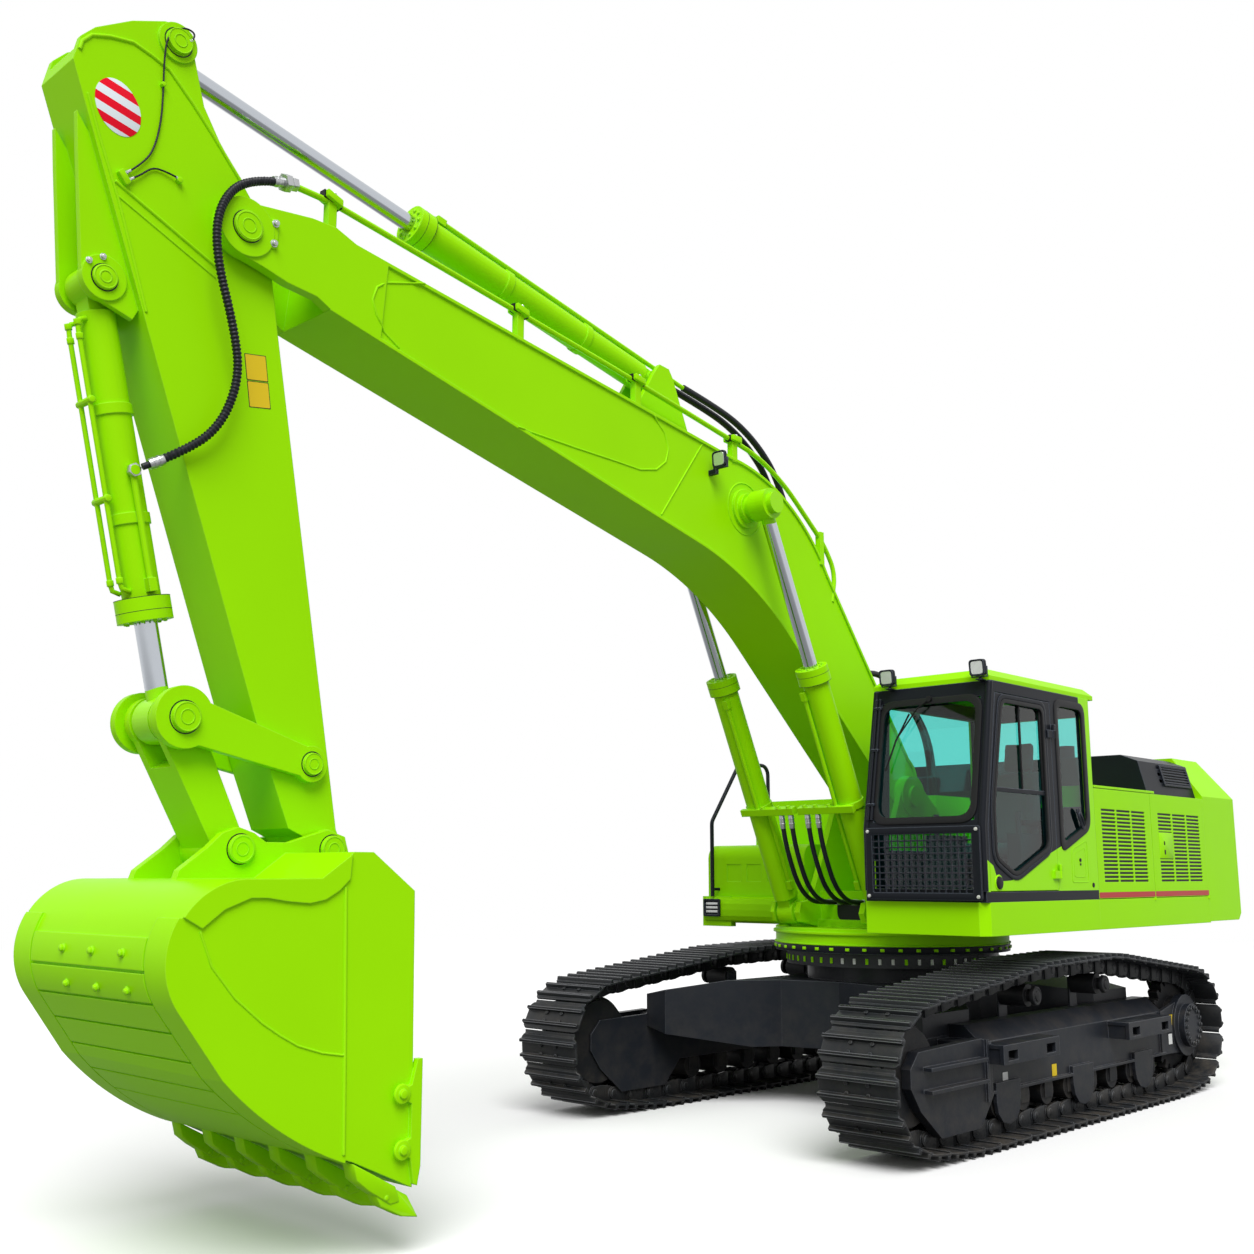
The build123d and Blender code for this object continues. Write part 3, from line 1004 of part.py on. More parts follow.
export_step(h_link.part, "parts/h_link.step")

# ---- Bucket -----------------------------------------------------------------
lip_front = (5683, 320)
lip_back = (6020, 480)
BUCKET_PLATE = 28.0


def bucket_outline(shrink):
    """Side outline of the shell; shrunk by the plate it leaves the inside, open ahead."""
    with BuildSketch(Plane.XZ) as face:
        with BuildLine():
            Line(lip_front, (5712, 1740))
            Line((5712, 1740), (5960, 1930))
            Line((5960, 1930), (6070, 1930))
            Line((6070, 1930), (6250, 1802))
            Line((6250, 1802), (6610, 1800))
            ThreePointArc((6610, 1800), (6960, 1580), (6915, 1225))
            Line((6915, 1225), (6690, 920))
            ThreePointArc((6690, 920), (6400, 675), lip_back)
            Line(lip_back, lip_front)
        make_face()
        if shrink:
            offset(amount=-shrink, kind=Kind.ARC, mode=Mode.REPLACE)
            with BuildLine():
                Polyline((5500, 340), (5730, 365), (5760, 1725), (5500, 1660), close=True)
            make_face()
    return face.sketch


def bucket_plan(wall):
    """Plan of the shell, wider at the lip than at the heel."""
    with BuildSketch(Plane.XY.offset(100)) as face:
        with BuildLine():
            Polyline((5400, BUCKET_LIP_HALF - wall), (5720, BUCKET_LIP_HALF - wall),
                     (7000, BUCKET_HEEL_HALF - wall),
                     (7100, BUCKET_HEEL_HALF - wall), (7100, -BUCKET_HEEL_HALF + wall),
                     (7000, -BUCKET_HEEL_HALF + wall), (5720, -BUCKET_LIP_HALF + wall),
                     (5400, -BUCKET_LIP_HALF + wall), close=True)
        make_face()
    return face.sketch


with BuildPart() as bucket_space:
    extrude(bucket_outline(BUCKET_PLATE), amount=BUCKET_LIP_HALF, both=True)
    extrude(bucket_plan(BUCKET_WALL), amount=2000, mode=Mode.INTERSECT)

WEAR_PLATE = 14.0
WEAR_SIDE = 190.0
WEAR_MIDDLE = (6200, 1450)
WEAR_JOINTS = ((7028, 1386), (6996, 1232), (6899, 1087), (6781, 949), (6645, 816), (6501, 701))


def wear_ring(top):
    """The plates laid on the shell's back and bottom, as a thin side outline up to a height."""
    with BuildSketch(Plane.XZ) as face:
        add(bucket_outline(0))
        offset(amount=WEAR_PLATE, kind=Kind.ARC, mode=Mode.REPLACE)
        add(bucket_outline(0), mode=Mode.SUBTRACT)
        with BuildLine():
            Polyline((6060, 300), (7200, 300), (7200, top), (6800, top), (6450, 1100), (6060, 760),
                     close=True)
        make_face(mode=Mode.INTERSECT)
    return face.sketch


with BuildPart() as wear_sides:
    extrude(wear_ring(1630), amount=BUCKET_LIP_HALF, both=True)
    extrude(bucket_plan(0), amount=2000, mode=Mode.INTERSECT)
    extrude(bucket_plan(WEAR_SIDE), amount=2000, mode=Mode.SUBTRACT)
with BuildPart() as wear_bars:
    extrude(wear_ring(1540), amount=BUCKET_LIP_HALF, both=True)
    extrude(bucket_plan(WEAR_SIDE + 16), amount=2000, mode=Mode.INTERSECT)
    for x, z in WEAR_JOINTS:
        reach = hypot(x - WEAR_MIDDLE[0], z - WEAR_MIDDLE[1])
        dx, dz = (x - WEAR_MIDDLE[0]) / reach, (z - WEAR_MIDDLE[1]) / reach
        across([(x - 90 * dx - 7 * dz, z - 90 * dz + 7 * dx), (x + 60 * dx - 7 * dz, z + 60 * dz + 7 * dx),
                (x + 60 * dx + 7 * dz, z + 60 * dz - 7 * dx), (x - 90 * dx + 7 * dz, z - 90 * dz - 7 * dx)],
               -BUCKET_LIP_HALF, BUCKET_LIP_HALF, Mode.SUBTRACT)
# A wavy band along the top of each side plate.
with BuildPart() as side_bands:
    with BuildSketch(Plane.XZ) as band:
        with BuildLine():
            Polyline((6844, 1582), (6741, 1664), (6613, 1714), (6532, 1713), (6407, 1694), (6308, 1686),
                     (6223, 1703), (6152, 1745), (6095, 1799), (6080, 2000), (7050, 2000), (7050, 1700),
                     close=True)
        make_face()
        add(bucket_outline(0), mode=Mode.INTERSECT)
    extrude(band.sketch, amount=1000, both=True)
    extrude(bucket_plan(-WEAR_PLATE), amount=2000, mode=Mode.INTERSECT)
    extrude(bucket_plan(0), amount=2000, mode=Mode.SUBTRACT)

with BuildPart() as bucket:
    extrude(bucket_outline(0), amount=BUCKET_LIP_HALF, both=True)
    extrude(bucket_plan(0), amount=2000, mode=Mode.INTERSECT)
    add(bucket_space.part, mode=Mode.SUBTRACT)
    add(wear_sides.part)
    add(wear_bars.part)
    add(side_bands.part)
    # Side cutters beside the opening.
    across_both([(5652, 925), (5680, 925), (5712, 805), (5772, 790), (5785, 755), (5712, 715), (5712, 555),
                 (5772, 535), (5785, 500), (5712, 460), (5690, 340), (5668, 330), (5650, 420)],
                BUCKET_LIP_HALF - 12, BUCKET_LIP_HALF + 22)
    # Hinge ears welded on the top plate.
    across_both([(6690, 1770), (6665, 1842), (6515, 1955), (6440, 2025), (qx + 15, qz + 110),
                 (qx - 75, qz + 82),
                 (6190, 1985), (6050, 1985), (5930, 2022), (tx + 30, tz + 102), (tx - 80, tz + 68),
                 (tx - 105, tz - 10), (5712, 1800), (5750, 1740), (6100, 1860), (6300, 1770)], EAR_IN,
                 EAR_OUT)
    pin_both(HITCH_PIN, 73, EAR_OUT, EAR_OUT + 22)
    pin_both(BUCKET_PIN, 73, EAR_OUT, EAR_OUT + 22)
bucket.part.label = "bucket"
export_step(bucket.part, "parts/bucket.step")

TOOTH_COUNT = 6
TOOTH_HALF = 55.0
tooth_span = 2 * (BUCKET_LIP_HALF - TOOTH_HALF - 5)
with BuildPart() as bucket_teeth:
    for i in range(TOOTH_COUNT):
        y = -tooth_span / 2 + i * tooth_span / (TOOTH_COUNT - 1)
        across([(5745, 262), (5790, 232), (6010, 335), (6170, 428), (6170, 470),
                (lip_back[0], lip_back[1] - SEAT),
                (lip_front[0] + 40, lip_front[1] - SEAT + 19)], y - TOOTH_HALF, y + TOOTH_HALF)
        across([(5630, 172), (5720, 186), (5850, 252), (5900, 330), (5760, 330), (5690, 282), (5668, 215)],
               y - TOOTH_HALF + 14, y + TOOTH_HALF - 14)
bucket_teeth.part.label = "bucket_teeth"
export_step(bucket_teeth.part, "parts/bucket_teeth.step")

# ---- Hydraulic cylinders ----------------------------------------------------

def axis_plane(foot, eye, y, distance):
    """Plane across a cylinder's line, at a distance from its foot pin."""
    span = hypot(eye[0] - foot[0], eye[1] - foot[1])
    dx, dz = (eye[0] - foot[0]) / span, (eye[1] - foot[1]) / span
    return Plane(origin=(foot[0] + dx * distance, y, foot[1] + dz * distance), x_dir=(0, 1, 0),
                 z_dir=(dx, 0, dz))


def barrel(foot, eye, y, size, eye_half):
    """Tube with a foot eye, a closed end and a thick gland ring at its mouth."""
    start = size["eye"] + 25
    with BuildSketch(axis_plane(foot, eye, y, start)) as end:
        Circle(size["radius"])
    extrude(end.sketch, amount=size["length"] - start - 10)
    with BuildSketch(axis_plane(foot, eye, y, size["length"] - GLAND_LENGTH)) as ring:
        Circle(size["gland"])
    extrude(ring.sketch, amount=GLAND_LENGTH)
    with BuildSketch(axis_plane(foot, eye, y, start + 30)) as bore:
        Circle(size["radius"] - BARREL_WALL)
    extrude(bore.sketch, amount=size["length"] - start - 30 - 30, mode=Mode.SUBTRACT)
    with BuildSketch(axis_plane(foot, eye, y, size["length"] - 40)) as mouth:
        Circle(size["rod"] + SEAT)
    extrude(mouth.sketch, amount=50, mode=Mode.SUBTRACT)
    with BuildSketch(axis_plane(foot, eye, y, 30)) as neck:
        Rectangle(2 * eye_half * 0.8, 1.3 * size["radius"])
    extrude(neck.sketch, amount=start - 20)
    pin(foot, size["eye"] * 0.82, y - eye_half, y + eye_half)


def band(foot, eye, y, size, distance):
    """A clamp round the tube."""
    with BuildSketch(axis_plane(foot, eye, y, distance)) as ring:
        Circle(size["radius"] + 9)
        Circle(size["radius"] - 2, mode=Mode.SUBTRACT)
    extrude(ring.sketch, amount=55)


def side_pipe(foot, eye, y, side, front, start, end, port):
    """A pipe beside the tube, with a block at the port where it enters."""
    with BuildSketch(axis_plane(foot, eye, y, start)) as line:
        with Locations((side, front)):
            RegularPolygon(17, 8)
    extrude(line.sketch, amount=end - start)
    with BuildSketch(axis_plane(foot, eye, y, port)) as block:
        with Locations((side, front)):
            Rectangle(44, 44)
    extrude(block.sketch, amount=70)


def rod(foot, eye, y, size, eye_half):
    """Rod with a piston inside the tube and an eye at its far end."""
    span = hypot(eye[0] - foot[0], eye[1] - foot[1])
    with BuildSketch(axis_plane(foot, eye, y, span - size["rod_length"])) as tail:
        Circle(size["rod"])
    extrude(tail.sketch, amount=size["rod_length"] - size["eye"] * 0.6)
    with BuildSketch(axis_plane(foot, eye, y, span - size["rod_length"])) as piston:
        Circle(size["radius"] - BARREL_WALL - SEAT)
    extrude(piston.sketch, amount=60)
    pin(eye, size["eye"], y - eye_half, y + eye_half)


lift_pin_half = ear_y - LIFT_PLANE - SEAT
with BuildPart() as lift_barrel_left:
    barrel(LIFT_FOOT, LIFT_EYE, LIFT_PLANE, LIFT_BARREL, LIFT_EYE_HALF)
    pin(LIFT_FOOT, 60, LIFT_PLANE - lift_pin_half, LIFT_PLANE + lift_pin_half)
    # Bracket that the hoses hang from, and the pipes up and down from it.
    band(LIFT_FOOT, LIFT_EYE, LIFT_PLANE, LIFT_BARREL, 900)
    with BuildSketch(axis_plane(LIFT_FOOT, LIFT_EYE, LIFT_PLANE, 900)) as bracket:
        with Locations((-222, -100)):
            Rectangle(390, 60)
        with Locations((0, -112)):
            Rectangle(200, 36)
    extrude(bracket.sketch, amount=55)
    side_pipe(LIFT_FOOT, LIFT_EYE, LIFT_PLANE, -62, -102, 930, 1860, 1810)
    side_pipe(LIFT_FOOT, LIFT_EYE, LIFT_PLANE, -112, -46, 230, 930, 230)
lift_barrel_left.part.label = "lift_barrel_left"
export_step(lift_barrel_left.part, "parts/lift_barrel_left.step")
with BuildPart() as lift_barrel_right:
    mirror(lift_barrel_left.part, about=Plane.XZ)
lift_barrel_right.part.label = "lift_barrel_right"
export_step(lift_barrel_right.part, "parts/lift_barrel_right.step")
with BuildPart() as lift_rod_left:
    rod(LIFT_FOOT, LIFT_EYE, LIFT_PLANE, LIFT_BARREL, LIFT_EYE_HALF)
    pin(LIFT_EYE, 88, LIFT_BOSS_END, LIFT_PLANE)
    pin(LIFT_EYE, 80, LIFT_PLANE, LIFT_PLANE + LIFT_EYE_HALF + 45)
lift_rod_left.part.label = "lift_rod_left"
export_step(lift_rod_left.part, "parts/lift_rod_left.step")
with BuildPart() as lift_rod_right:
    mirror(lift_rod_left.part, about=Plane.XZ)
lift_rod_right.part.label = "lift_rod_right"
export_step(lift_rod_right.part, "parts/lift_rod_right.step")

CROWD_EYE_HALF = 78.0
with BuildPart() as crowd_barrel:
    barrel(CROWD_FOOT, CROWD_EYE, 0, CROWD_BARREL, CROWD_EYE_HALF)
    pin(CROWD_FOOT, 60, -CROWD_BARREL["radius"] - 8 + SEAT, CROWD_BARREL["radius"] + 8 - SEAT)
    side_pipe(CROWD_FOOT, CROWD_EYE, 0, TOP_HOSE_Y[0], 115, -315, 2110, 2040)
    side_pipe(CROWD_FOOT, CROWD_EYE, 0, TOP_HOSE_Y[1], 115, -315, 330, 260)
    for distance in (700, 1450):
        band(CROWD_FOOT, CROWD_EYE, 0, CROWD_BARREL, distance)
crowd_barrel.part.label = "crowd_barrel"
export_step(crowd_barrel.part, "parts/crowd_barrel.step")
with BuildPart() as crowd_rod:
    rod(CROWD_FOOT, CROWD_EYE, 0, CROWD_BARREL, CROWD_EYE_HALF)
    pin(CROWD_EYE, 62, -ARM_HALF + ARM_PLATE + SEAT, ARM_HALF - ARM_PLATE - SEAT)
crowd_rod.part.label = "crowd_rod"
export_step(crowd_rod.part, "parts/crowd_rod.step")

CURL_EYE_HALF = 80.0
with BuildPart() as curl_barrel:
    barrel(CURL_FOOT, LINK_PIN, 0, CURL_BARREL, CURL_EYE_HALF)
    pin(CURL_FOOT, 60, -CURL_LUG_IN + SEAT, CURL_LUG_IN - SEAT)
    side_pipe(CURL_FOOT, LINK_PIN, 0, 116, 0, 945, 1590, 1520)
    side_pipe(CURL_FOOT, LINK_PIN, 0, -116, 0, 190, 945, 190)
    for distance in (620, 1180):
        band(CURL_FOOT, LINK_PIN, 0, CURL_BARREL, distance)
    pin((6974, 3818), 26, 100, 147)
curl_barrel.part.label = "curl_barrel"
export_step(curl_barrel.part, "parts/curl_barrel.step")
with BuildPart() as curl_rod:
    rod(CURL_FOOT, LINK_PIN, 0, CURL_BARREL, CURL_EYE_HALF)
    pin(LINK_PIN, 75, -FORK_GAP + SEAT, FORK_GAP - SEAT)
curl_rod.part.label = "curl_rod"
export_step(curl_rod.part, "parts/curl_rod.step")

# ---- Hoses between the house and the boom cylinders -------------------------
LIFT_HOSE = [(1265, 2288), (1240, 2130), (1165, 1930), (1060, 1730), (900, 1612), (730, 1600),
             (BULKHEAD_X, 1600)]
lift_hose_1 = tube(at_y(LIFT_HOSE, 185), HOSE_THIN)
lift_hose_1.label = "lift_hose_1"
export_step(lift_hose_1, "parts/lift_hose_1.step")
lift_hose_2 = tube(at_y(LIFT_HOSE, 85), HOSE_THIN)
lift_hose_2.label = "lift_hose_2"
export_step(lift_hose_2, "parts/lift_hose_2.step")
lift_hose_3 = tube(at_y(LIFT_HOSE, -75), HOSE_THIN)
lift_hose_3.label = "lift_hose_3"
export_step(lift_hose_3, "parts/lift_hose_3.step")
lift_hose_4 = tube(at_y(LIFT_HOSE, -165), HOSE_THIN)
lift_hose_4.label = "lift_hose_4"
export_step(lift_hose_4, "parts/lift_hose_4.step")
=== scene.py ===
"""Looks of the crawler excavator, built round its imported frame. Metres, the frame's own axes."""
import math

import bmesh
import bpy
from mathutils import Matrix, Vector


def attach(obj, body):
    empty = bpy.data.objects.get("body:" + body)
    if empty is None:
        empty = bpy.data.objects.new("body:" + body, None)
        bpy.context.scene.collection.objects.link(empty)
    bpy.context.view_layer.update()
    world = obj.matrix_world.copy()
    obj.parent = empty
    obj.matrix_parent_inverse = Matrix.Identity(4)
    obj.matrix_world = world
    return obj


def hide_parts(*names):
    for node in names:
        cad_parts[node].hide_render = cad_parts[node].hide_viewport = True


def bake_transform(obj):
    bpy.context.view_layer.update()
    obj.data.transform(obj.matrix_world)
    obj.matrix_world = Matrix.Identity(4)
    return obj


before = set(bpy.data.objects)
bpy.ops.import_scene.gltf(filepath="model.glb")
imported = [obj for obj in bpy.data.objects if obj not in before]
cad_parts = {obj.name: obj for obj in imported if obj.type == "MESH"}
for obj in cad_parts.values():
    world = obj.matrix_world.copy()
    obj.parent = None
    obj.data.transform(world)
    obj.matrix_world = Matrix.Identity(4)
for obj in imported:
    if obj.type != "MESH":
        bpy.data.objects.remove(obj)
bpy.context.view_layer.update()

# ---- Camera -----------------------------------------------------------------
# A walk-round view from ahead of the bucket on the operator's side, a little
# above a person's eye, with a long lens that keeps tracks and boom in proportion.
EYE = (10.10, 6.48, 1.82)
EYE_YAW = 223.33
EYE_PITCH = 10.24
LENS = 39.36

CLIP_END = 200


def linked(name, data):
    """A new object in the scene."""
    made = bpy.data.objects.new(name, data)
    bpy.context.scene.collection.objects.link(made)
    return made


camera = linked("camera", bpy.data.cameras.new("camera"))
camera.location = EYE
camera.rotation_euler = (math.radians(90 + EYE_PITCH), 0, math.radians(EYE_YAW - 90))
camera.data.lens = LENS
camera.data.sensor_width = 36
camera.data.clip_end = CLIP_END
bpy.context.scene.camera = camera

# ---- Floor and light --------------------------------------------------------
# A pale studio floor that runs out to white, an even sky and one broad key
# light from ahead and above on the operator's side.
FLOOR_RADIUS, FLOOR_SINK = 60.0, 0.001
FLOOR_SEEN, FLOOR_BOUNCE = (0.93, 0.93, 0.93, 1), (0.30, 0.30, 0.30, 1)
FADE_FROM, FADE_TO = 9.0, 30.0
SKY_LEVEL = 0.52
KEY_POWER = 3.15
KEY_FROM = (0.52, 0.55, 0.86)
KEY_SPREAD = math.radians(40)
WHITE = (1, 1, 1, 1)
bpy.context.scene.view_settings.view_transform = "Standard"


def feed(tree, target, inputs):
    """Set or link a node's inputs, in order or by name."""
    for key, value in (inputs.items() if isinstance(inputs, dict) else enumerate(inputs)):
        if isinstance(value, bpy.types.NodeSocket):
            tree.links.new(value, target.inputs[key])
        else:
            target.inputs[key].default_value = value


def new_node(tree, kind, inputs=(), **settings):
    """The outputs of a new node with these settings and inputs."""
    made = tree.nodes.new(kind)
    for key, value in settings.items():
        setattr(made, key, value)
    feed(tree, made, inputs)
    return made.outputs


def maths(tree, operation, *inputs, **settings):
    """The result of a sum."""
    return new_node(tree, "ShaderNodeMath", inputs, operation=operation, **settings)[0]


def vectors(tree, operation, *inputs):
    """The outputs of a vector sum: the vector first, then its value."""
    return new_node(tree, "ShaderNodeVectorMath", inputs, operation=operation)


def ranged(tree, value, low=0.0, high=1.0, to_low=0.0, to_high=1.0, **settings):
    """A value carried from one range to another."""
    return new_node(tree, "ShaderNodeMapRange", {
        "Value": value, "From Min": low, "From Max": high, "To Min": to_low, "To Max": to_high}, **settings)[0]


def mixed(tree, factor, first, second):
    """A colour between two others."""
    return new_node(tree, "ShaderNodeMix", {"Factor": factor, "A": first, "B": second}, data_type="RGBA")["Result"]


def object_place(tree):
    """The place on the surface in the object's own axes."""
    return new_node(tree, "ShaderNodeTexCoord")["Object"]


def material(name):
    """A new material with its tree and its main shader."""
    made = bpy.data.materials.new(name)
    made.use_nodes = True
    return made, made.node_tree, made.node_tree.nodes["Principled BSDF"]


def seen_white(tree, lit, kind, fade=None):
    """A shader turned plain white where a camera, mirror or glass ray sees it."""
    rays = new_node(tree, "ShaderNodeLightPath")
    seen = maths(tree, "MAXIMUM", rays["Is Camera Ray"], rays["Is Glossy Ray"])
    seen = maths(tree, "MAXIMUM", seen, rays["Is Transmission Ray"])
    if fade:
        seen = maths(tree, "MULTIPLY", fade, seen)
    white = new_node(tree, kind, {"Color": WHITE, "Strength": 1.0})[0]
    return new_node(tree, "ShaderNodeMixShader", (seen, lit, white))[0]


world = bpy.data.worlds.new("studio")
bpy.context.scene.world = world
world.use_nodes = True
tree = world.node_tree
sky = tree.nodes["Background"]
feed(tree, sky, {"Color": WHITE, "Strength": SKY_LEVEL})
feed(tree, tree.nodes["World Output"], {"Surface": seen_white(tree, sky.outputs[0], "ShaderNodeBackground")})

key = linked("key_light", bpy.data.lights.new("key_light", "SUN"))
key.data.energy = KEY_POWER
key.data.angle = KEY_SPREAD
key.rotation_euler = Vector(KEY_FROM).to_track_quat("Z", "Y").to_euler()

floor = linked("floor", bpy.data.meshes.new("floor"))
form = bmesh.new()
bmesh.ops.create_circle(form, cap_ends=True, segments=96, radius=FLOOR_RADIUS)
bmesh.ops.translate(form, verts=form.verts, vec=(0, 0, -FLOOR_SINK))
form.to_mesh(floor.data)
form.free()
floor_finish, tree, shader = material("studio_floor")
away = vectors(tree, "LENGTH", object_place(tree))["Value"]
fade = ranged(tree, away, FADE_FROM, FADE_TO, interpolation_type="SMOOTHSTEP")
looked_at = new_node(tree, "ShaderNodeLightPath")["Is Camera Ray"]
feed(tree, shader, {"Base Color": mixed(tree, looked_at, FLOOR_BOUNCE, FLOOR_SEEN), "Roughness": 0.9,
                    "Specular IOR Level": 0.1})
feed(tree, tree.nodes["Material Output"],
     {"Surface": seen_white(tree, shader.outputs[0], "ShaderNodeEmission", fade)})
floor.data.materials.append(floor_finish)

# ---- Tracks -----------------------------------------------------------------
# Two chains of double-grouser shoes, 600 mm wide, bolted with four bolts each
# to forged link pairs that turn on pressed pins and bushings.
SHOE_PITCH = 0.216
PIN_X = SHOE_PITCH / 2
GROUSER_MIDDLES = (-0.056, 0.056)
SHOE_HALF = 0.300
CHAIN_HALF = 0.060
PLATE = 0.014
GROUSER = 0.028
LINK_IN = 0.062
LINK_OUT = 0.100
LINK_PLATE = 0.016
SHOE_BOLT_XS, SHOE_BOLT_Y = (-0.036, 0.030), 0.081
CORNER_CUT = 0.028
TRACK_Y = 1.400
WHEELS = (  # x, z, radius of the pin line
    (2.175, 0.540, 0.385),
    (0.540, 0.950, 0.1475),
    (-0.610, 0.970, 0.1475),
    (-2.175, 0.540, 0.395),
    (-1.720, 0.2623, 0.1603),
    (1.640, 0.2623, 0.1603),
)


def node_group(name, kind, inputs, outputs):
    """An empty node group, the sockets it is given and the node that takes its results."""
    tree = bpy.data.node_groups.new(name, kind)
    for label, socket, *value in inputs:
        asked = tree.interface.new_socket(label, in_out="INPUT", socket_type="NodeSocket" + socket)
        if value:
            asked.default_value = value[0]
    for label, socket in outputs:
        tree.interface.new_socket(label, in_out="OUTPUT", socket_type="NodeSocket" + socket)
    return tree, tree.nodes.new("NodeGroupInput").outputs, tree.nodes.new("NodeGroupOutput")


# Rounded edges: turns the normal over a small radius and marks where it turns.
edges, given, out = node_group("rounded_edges", "ShaderNodeTree", (("Radius", "Float", 0.006),),
                               (("Normal", "Vector"), ("Edge", "Float")))
rounded = new_node(edges, "ShaderNodeBevel", {"Radius": given["Radius"]}, samples=6)["Normal"]
agree = vectors(edges, "DOT_PRODUCT", rounded, new_node(edges, "ShaderNodeNewGeometry")["True Normal"])["Value"]
feed(edges, out, {"Normal": rounded, "Edge": ranged(edges, agree, 0.985, 0.80)})

# Grain: a fine height for orange peel or casting skin, and a broad change of tone.
grain, given, out = node_group("surface_grain", "ShaderNodeTree", (("Scale", "Float", 120.0),
                               ("Broad Scale", "Float", 1.3)), (("Height", "Float"), ("Tone", "Float")))
where = object_place(grain)
for scale, detail, result in (("Scale", 3, "Height"), ("Broad Scale", 5, "Tone")):
    noise = new_node(grain, "ShaderNodeTexNoise", {"Vector": where, "Scale": given[scale], "Detail": detail})["Fac"]
    feed(grain, out, {result: noise})

# Dust: settles on faces that look up and low on the machine, broken by noise.
dust, given, out = node_group("settled_dust", "ShaderNodeTree", (("Full Below", "Float", 0.2),
                              ("None Above", "Float", 1.2)), (("Mask", "Float"),))
where = object_place(dust)
height = new_node(dust, "ShaderNodeSeparateXYZ", (where,))["Z"]
low = ranged(dust, height, given["None Above"], given["Full Below"])
speck = new_node(dust, "ShaderNodeTexNoise", {"Vector": where, "Scale": 6, "Detail": 8, "Roughness": 0.7})["Fac"]
up = new_node(dust, "ShaderNodeSeparateXYZ", (new_node(dust, "ShaderNodeNewGeometry")["Normal"],))["Z"]
settled = maths(dust, "MULTIPLY", low, ranged(dust, speck, 0.42, 0.7))
feed(dust, out, {"Mask": maths(dust, "MULTIPLY", settled, ranged(dust, up, -0.2, 1.0, 0.25))})
DUST_COLOUR = (0.20, 0.165, 0.12, 1)


def coating(name, colour, roughness, metallic=0.0, coat=0.0, radius=0.006, edge_wear_and_highlight=(0.3, 0.3, 0.3), edge_wear_and_highlight_share=0.0,
            dusty=0.0, scale=120.0, bump=0.15, tone=0.12, gloss=0.25):
    """A painted or bare metal finish with rounded edges, grain and dust, and a lighter colour on its edges that is
    partly wear and partly painted highlight.
    """
    made, tree, shader = material(name)
    rounding = new_node(tree, "ShaderNodeGroup", {"Radius": radius}, node_tree=edges)
    skin = new_node(tree, "ShaderNodeGroup", {"Scale": scale}, node_tree=grain)
    settled = new_node(tree, "ShaderNodeGroup", node_tree=dust)
    darker, lighter = [(*[min(1.0, c * share) for c in colour], 1) for share in (1 - tone, 1 + tone)]
    shade = mixed(tree, skin["Tone"], darker, lighter)
    # The edges take a lighter colour: partly wear, partly a painted highlight.
    shade = mixed(tree, maths(tree, "MULTIPLY", rounding["Edge"], edge_wear_and_highlight_share), shade, (*edge_wear_and_highlight, 1))
    shade = mixed(tree, maths(tree, "MULTIPLY", settled["Mask"], dusty), shade, DUST_COLOUR)
    relief = new_node(tree, "ShaderNodeBump", {
        "Strength": bump, "Distance": 0.002, "Height": skin["Height"], "Normal": rounding["Normal"]})["Normal"]
    rough = ranged(tree, skin["Tone"], to_low=max(0.05, roughness - 0.07), to_high=min(1.0, roughness + 0.09))
    feed(tree, shader, {"Base Color": shade, "Metallic": metallic, "Roughness": rough, "Coat Weight": coat,
                        "Coat Roughness": 0.12, "Specular IOR Level": gloss, "Normal": relief})
    return made


# The lighter grey on the shoes' and links' edges is partly wear, partly a painted highlight.
track_black = coating("track_black", (0.012, 0.0135, 0.0155), 0.42, coat=0.0, radius=0.005, edge_wear_and_highlight=(0.13, 0.14, 0.155),
                      edge_wear_and_highlight_share=0.75, dusty=0.30, scale=60, bump=0.35, tone=0.3)
grouser_steel = coating("grouser_steel", (0.17, 0.175, 0.185), 0.38, metallic=0.85, radius=0.003, dusty=0.2, scale=90,
                        bump=0.4, tone=0.35)


def arc(x, z, r, start):
    """Places on a circle by the distance gone from a starting angle."""
    return lambda s: (x + r * math.cos(start + s / r), z + r * math.sin(start + s / r))


def straight(a, b):
    """The length of a straight run and its places by the distance gone."""
    length = math.dist(a, b)
    return length, lambda s: (a[0] + (b[0] - a[0]) * s / length, a[1] + (b[1] - a[1]) * s / length)


def chain_path(wheels):
    """Tangent lines and arcs round the wheels, from the idler over the top."""
    ways = []
    for (xa, za, ra), (xb, zb, rb) in zip(wheels, wheels[1:] + wheels[:1]):
        span = math.hypot(xb - xa, zb - za)
        dx, dz = (xb - xa) / span, (zb - za) / span
        tilt = (ra - rb) / span
        side = math.sqrt(1 - tilt * tilt)
        ways.append((dx * tilt + dz * side, dz * tilt - dx * side))
    runs = []
    for i, (x, z, r) in enumerate(wheels):
        nx, nz = ways[i]
        start = math.atan2(ways[i - 1][1], ways[i - 1][0])
        runs.append(((math.atan2(nz, nx) - start) % (2 * math.pi) * r, arc(x, z, r, start)))
        xn, zn, rn = wheels[(i + 1) % len(wheels)]
        runs.append(straight((x + r * nx, z + r * nz), (xn + rn * nx, zn + rn * nz)))
    return runs


def chain_places(wheels):
    """Middle and turn about Y of each link of the chain."""
    runs = chain_path(wheels)
    total = sum(length for length, _ in runs)
    count = round(total / SHOE_PITCH)
    pins = []
    for i in range(count):
        left = total * i / count
        for length, at in runs:
            if left <= length:
                break
            left -= length
        pins.append(at(left))
    places = []
    for (xa, za), (xb, zb) in zip(pins, pins[1:] + pins[:1]):
        places.append((((xa + xb) / 2, 0, (za + zb) / 2), (0, math.atan2(za - zb, xb - xa), 0)))
    return places


def strip(form, near, far):
    """Join two rings of equal count with faces."""
    for k in range(len(near)):
        n = (k + 1) % len(near)
        form.faces.new((near[k], near[n], far[n], far[k]))


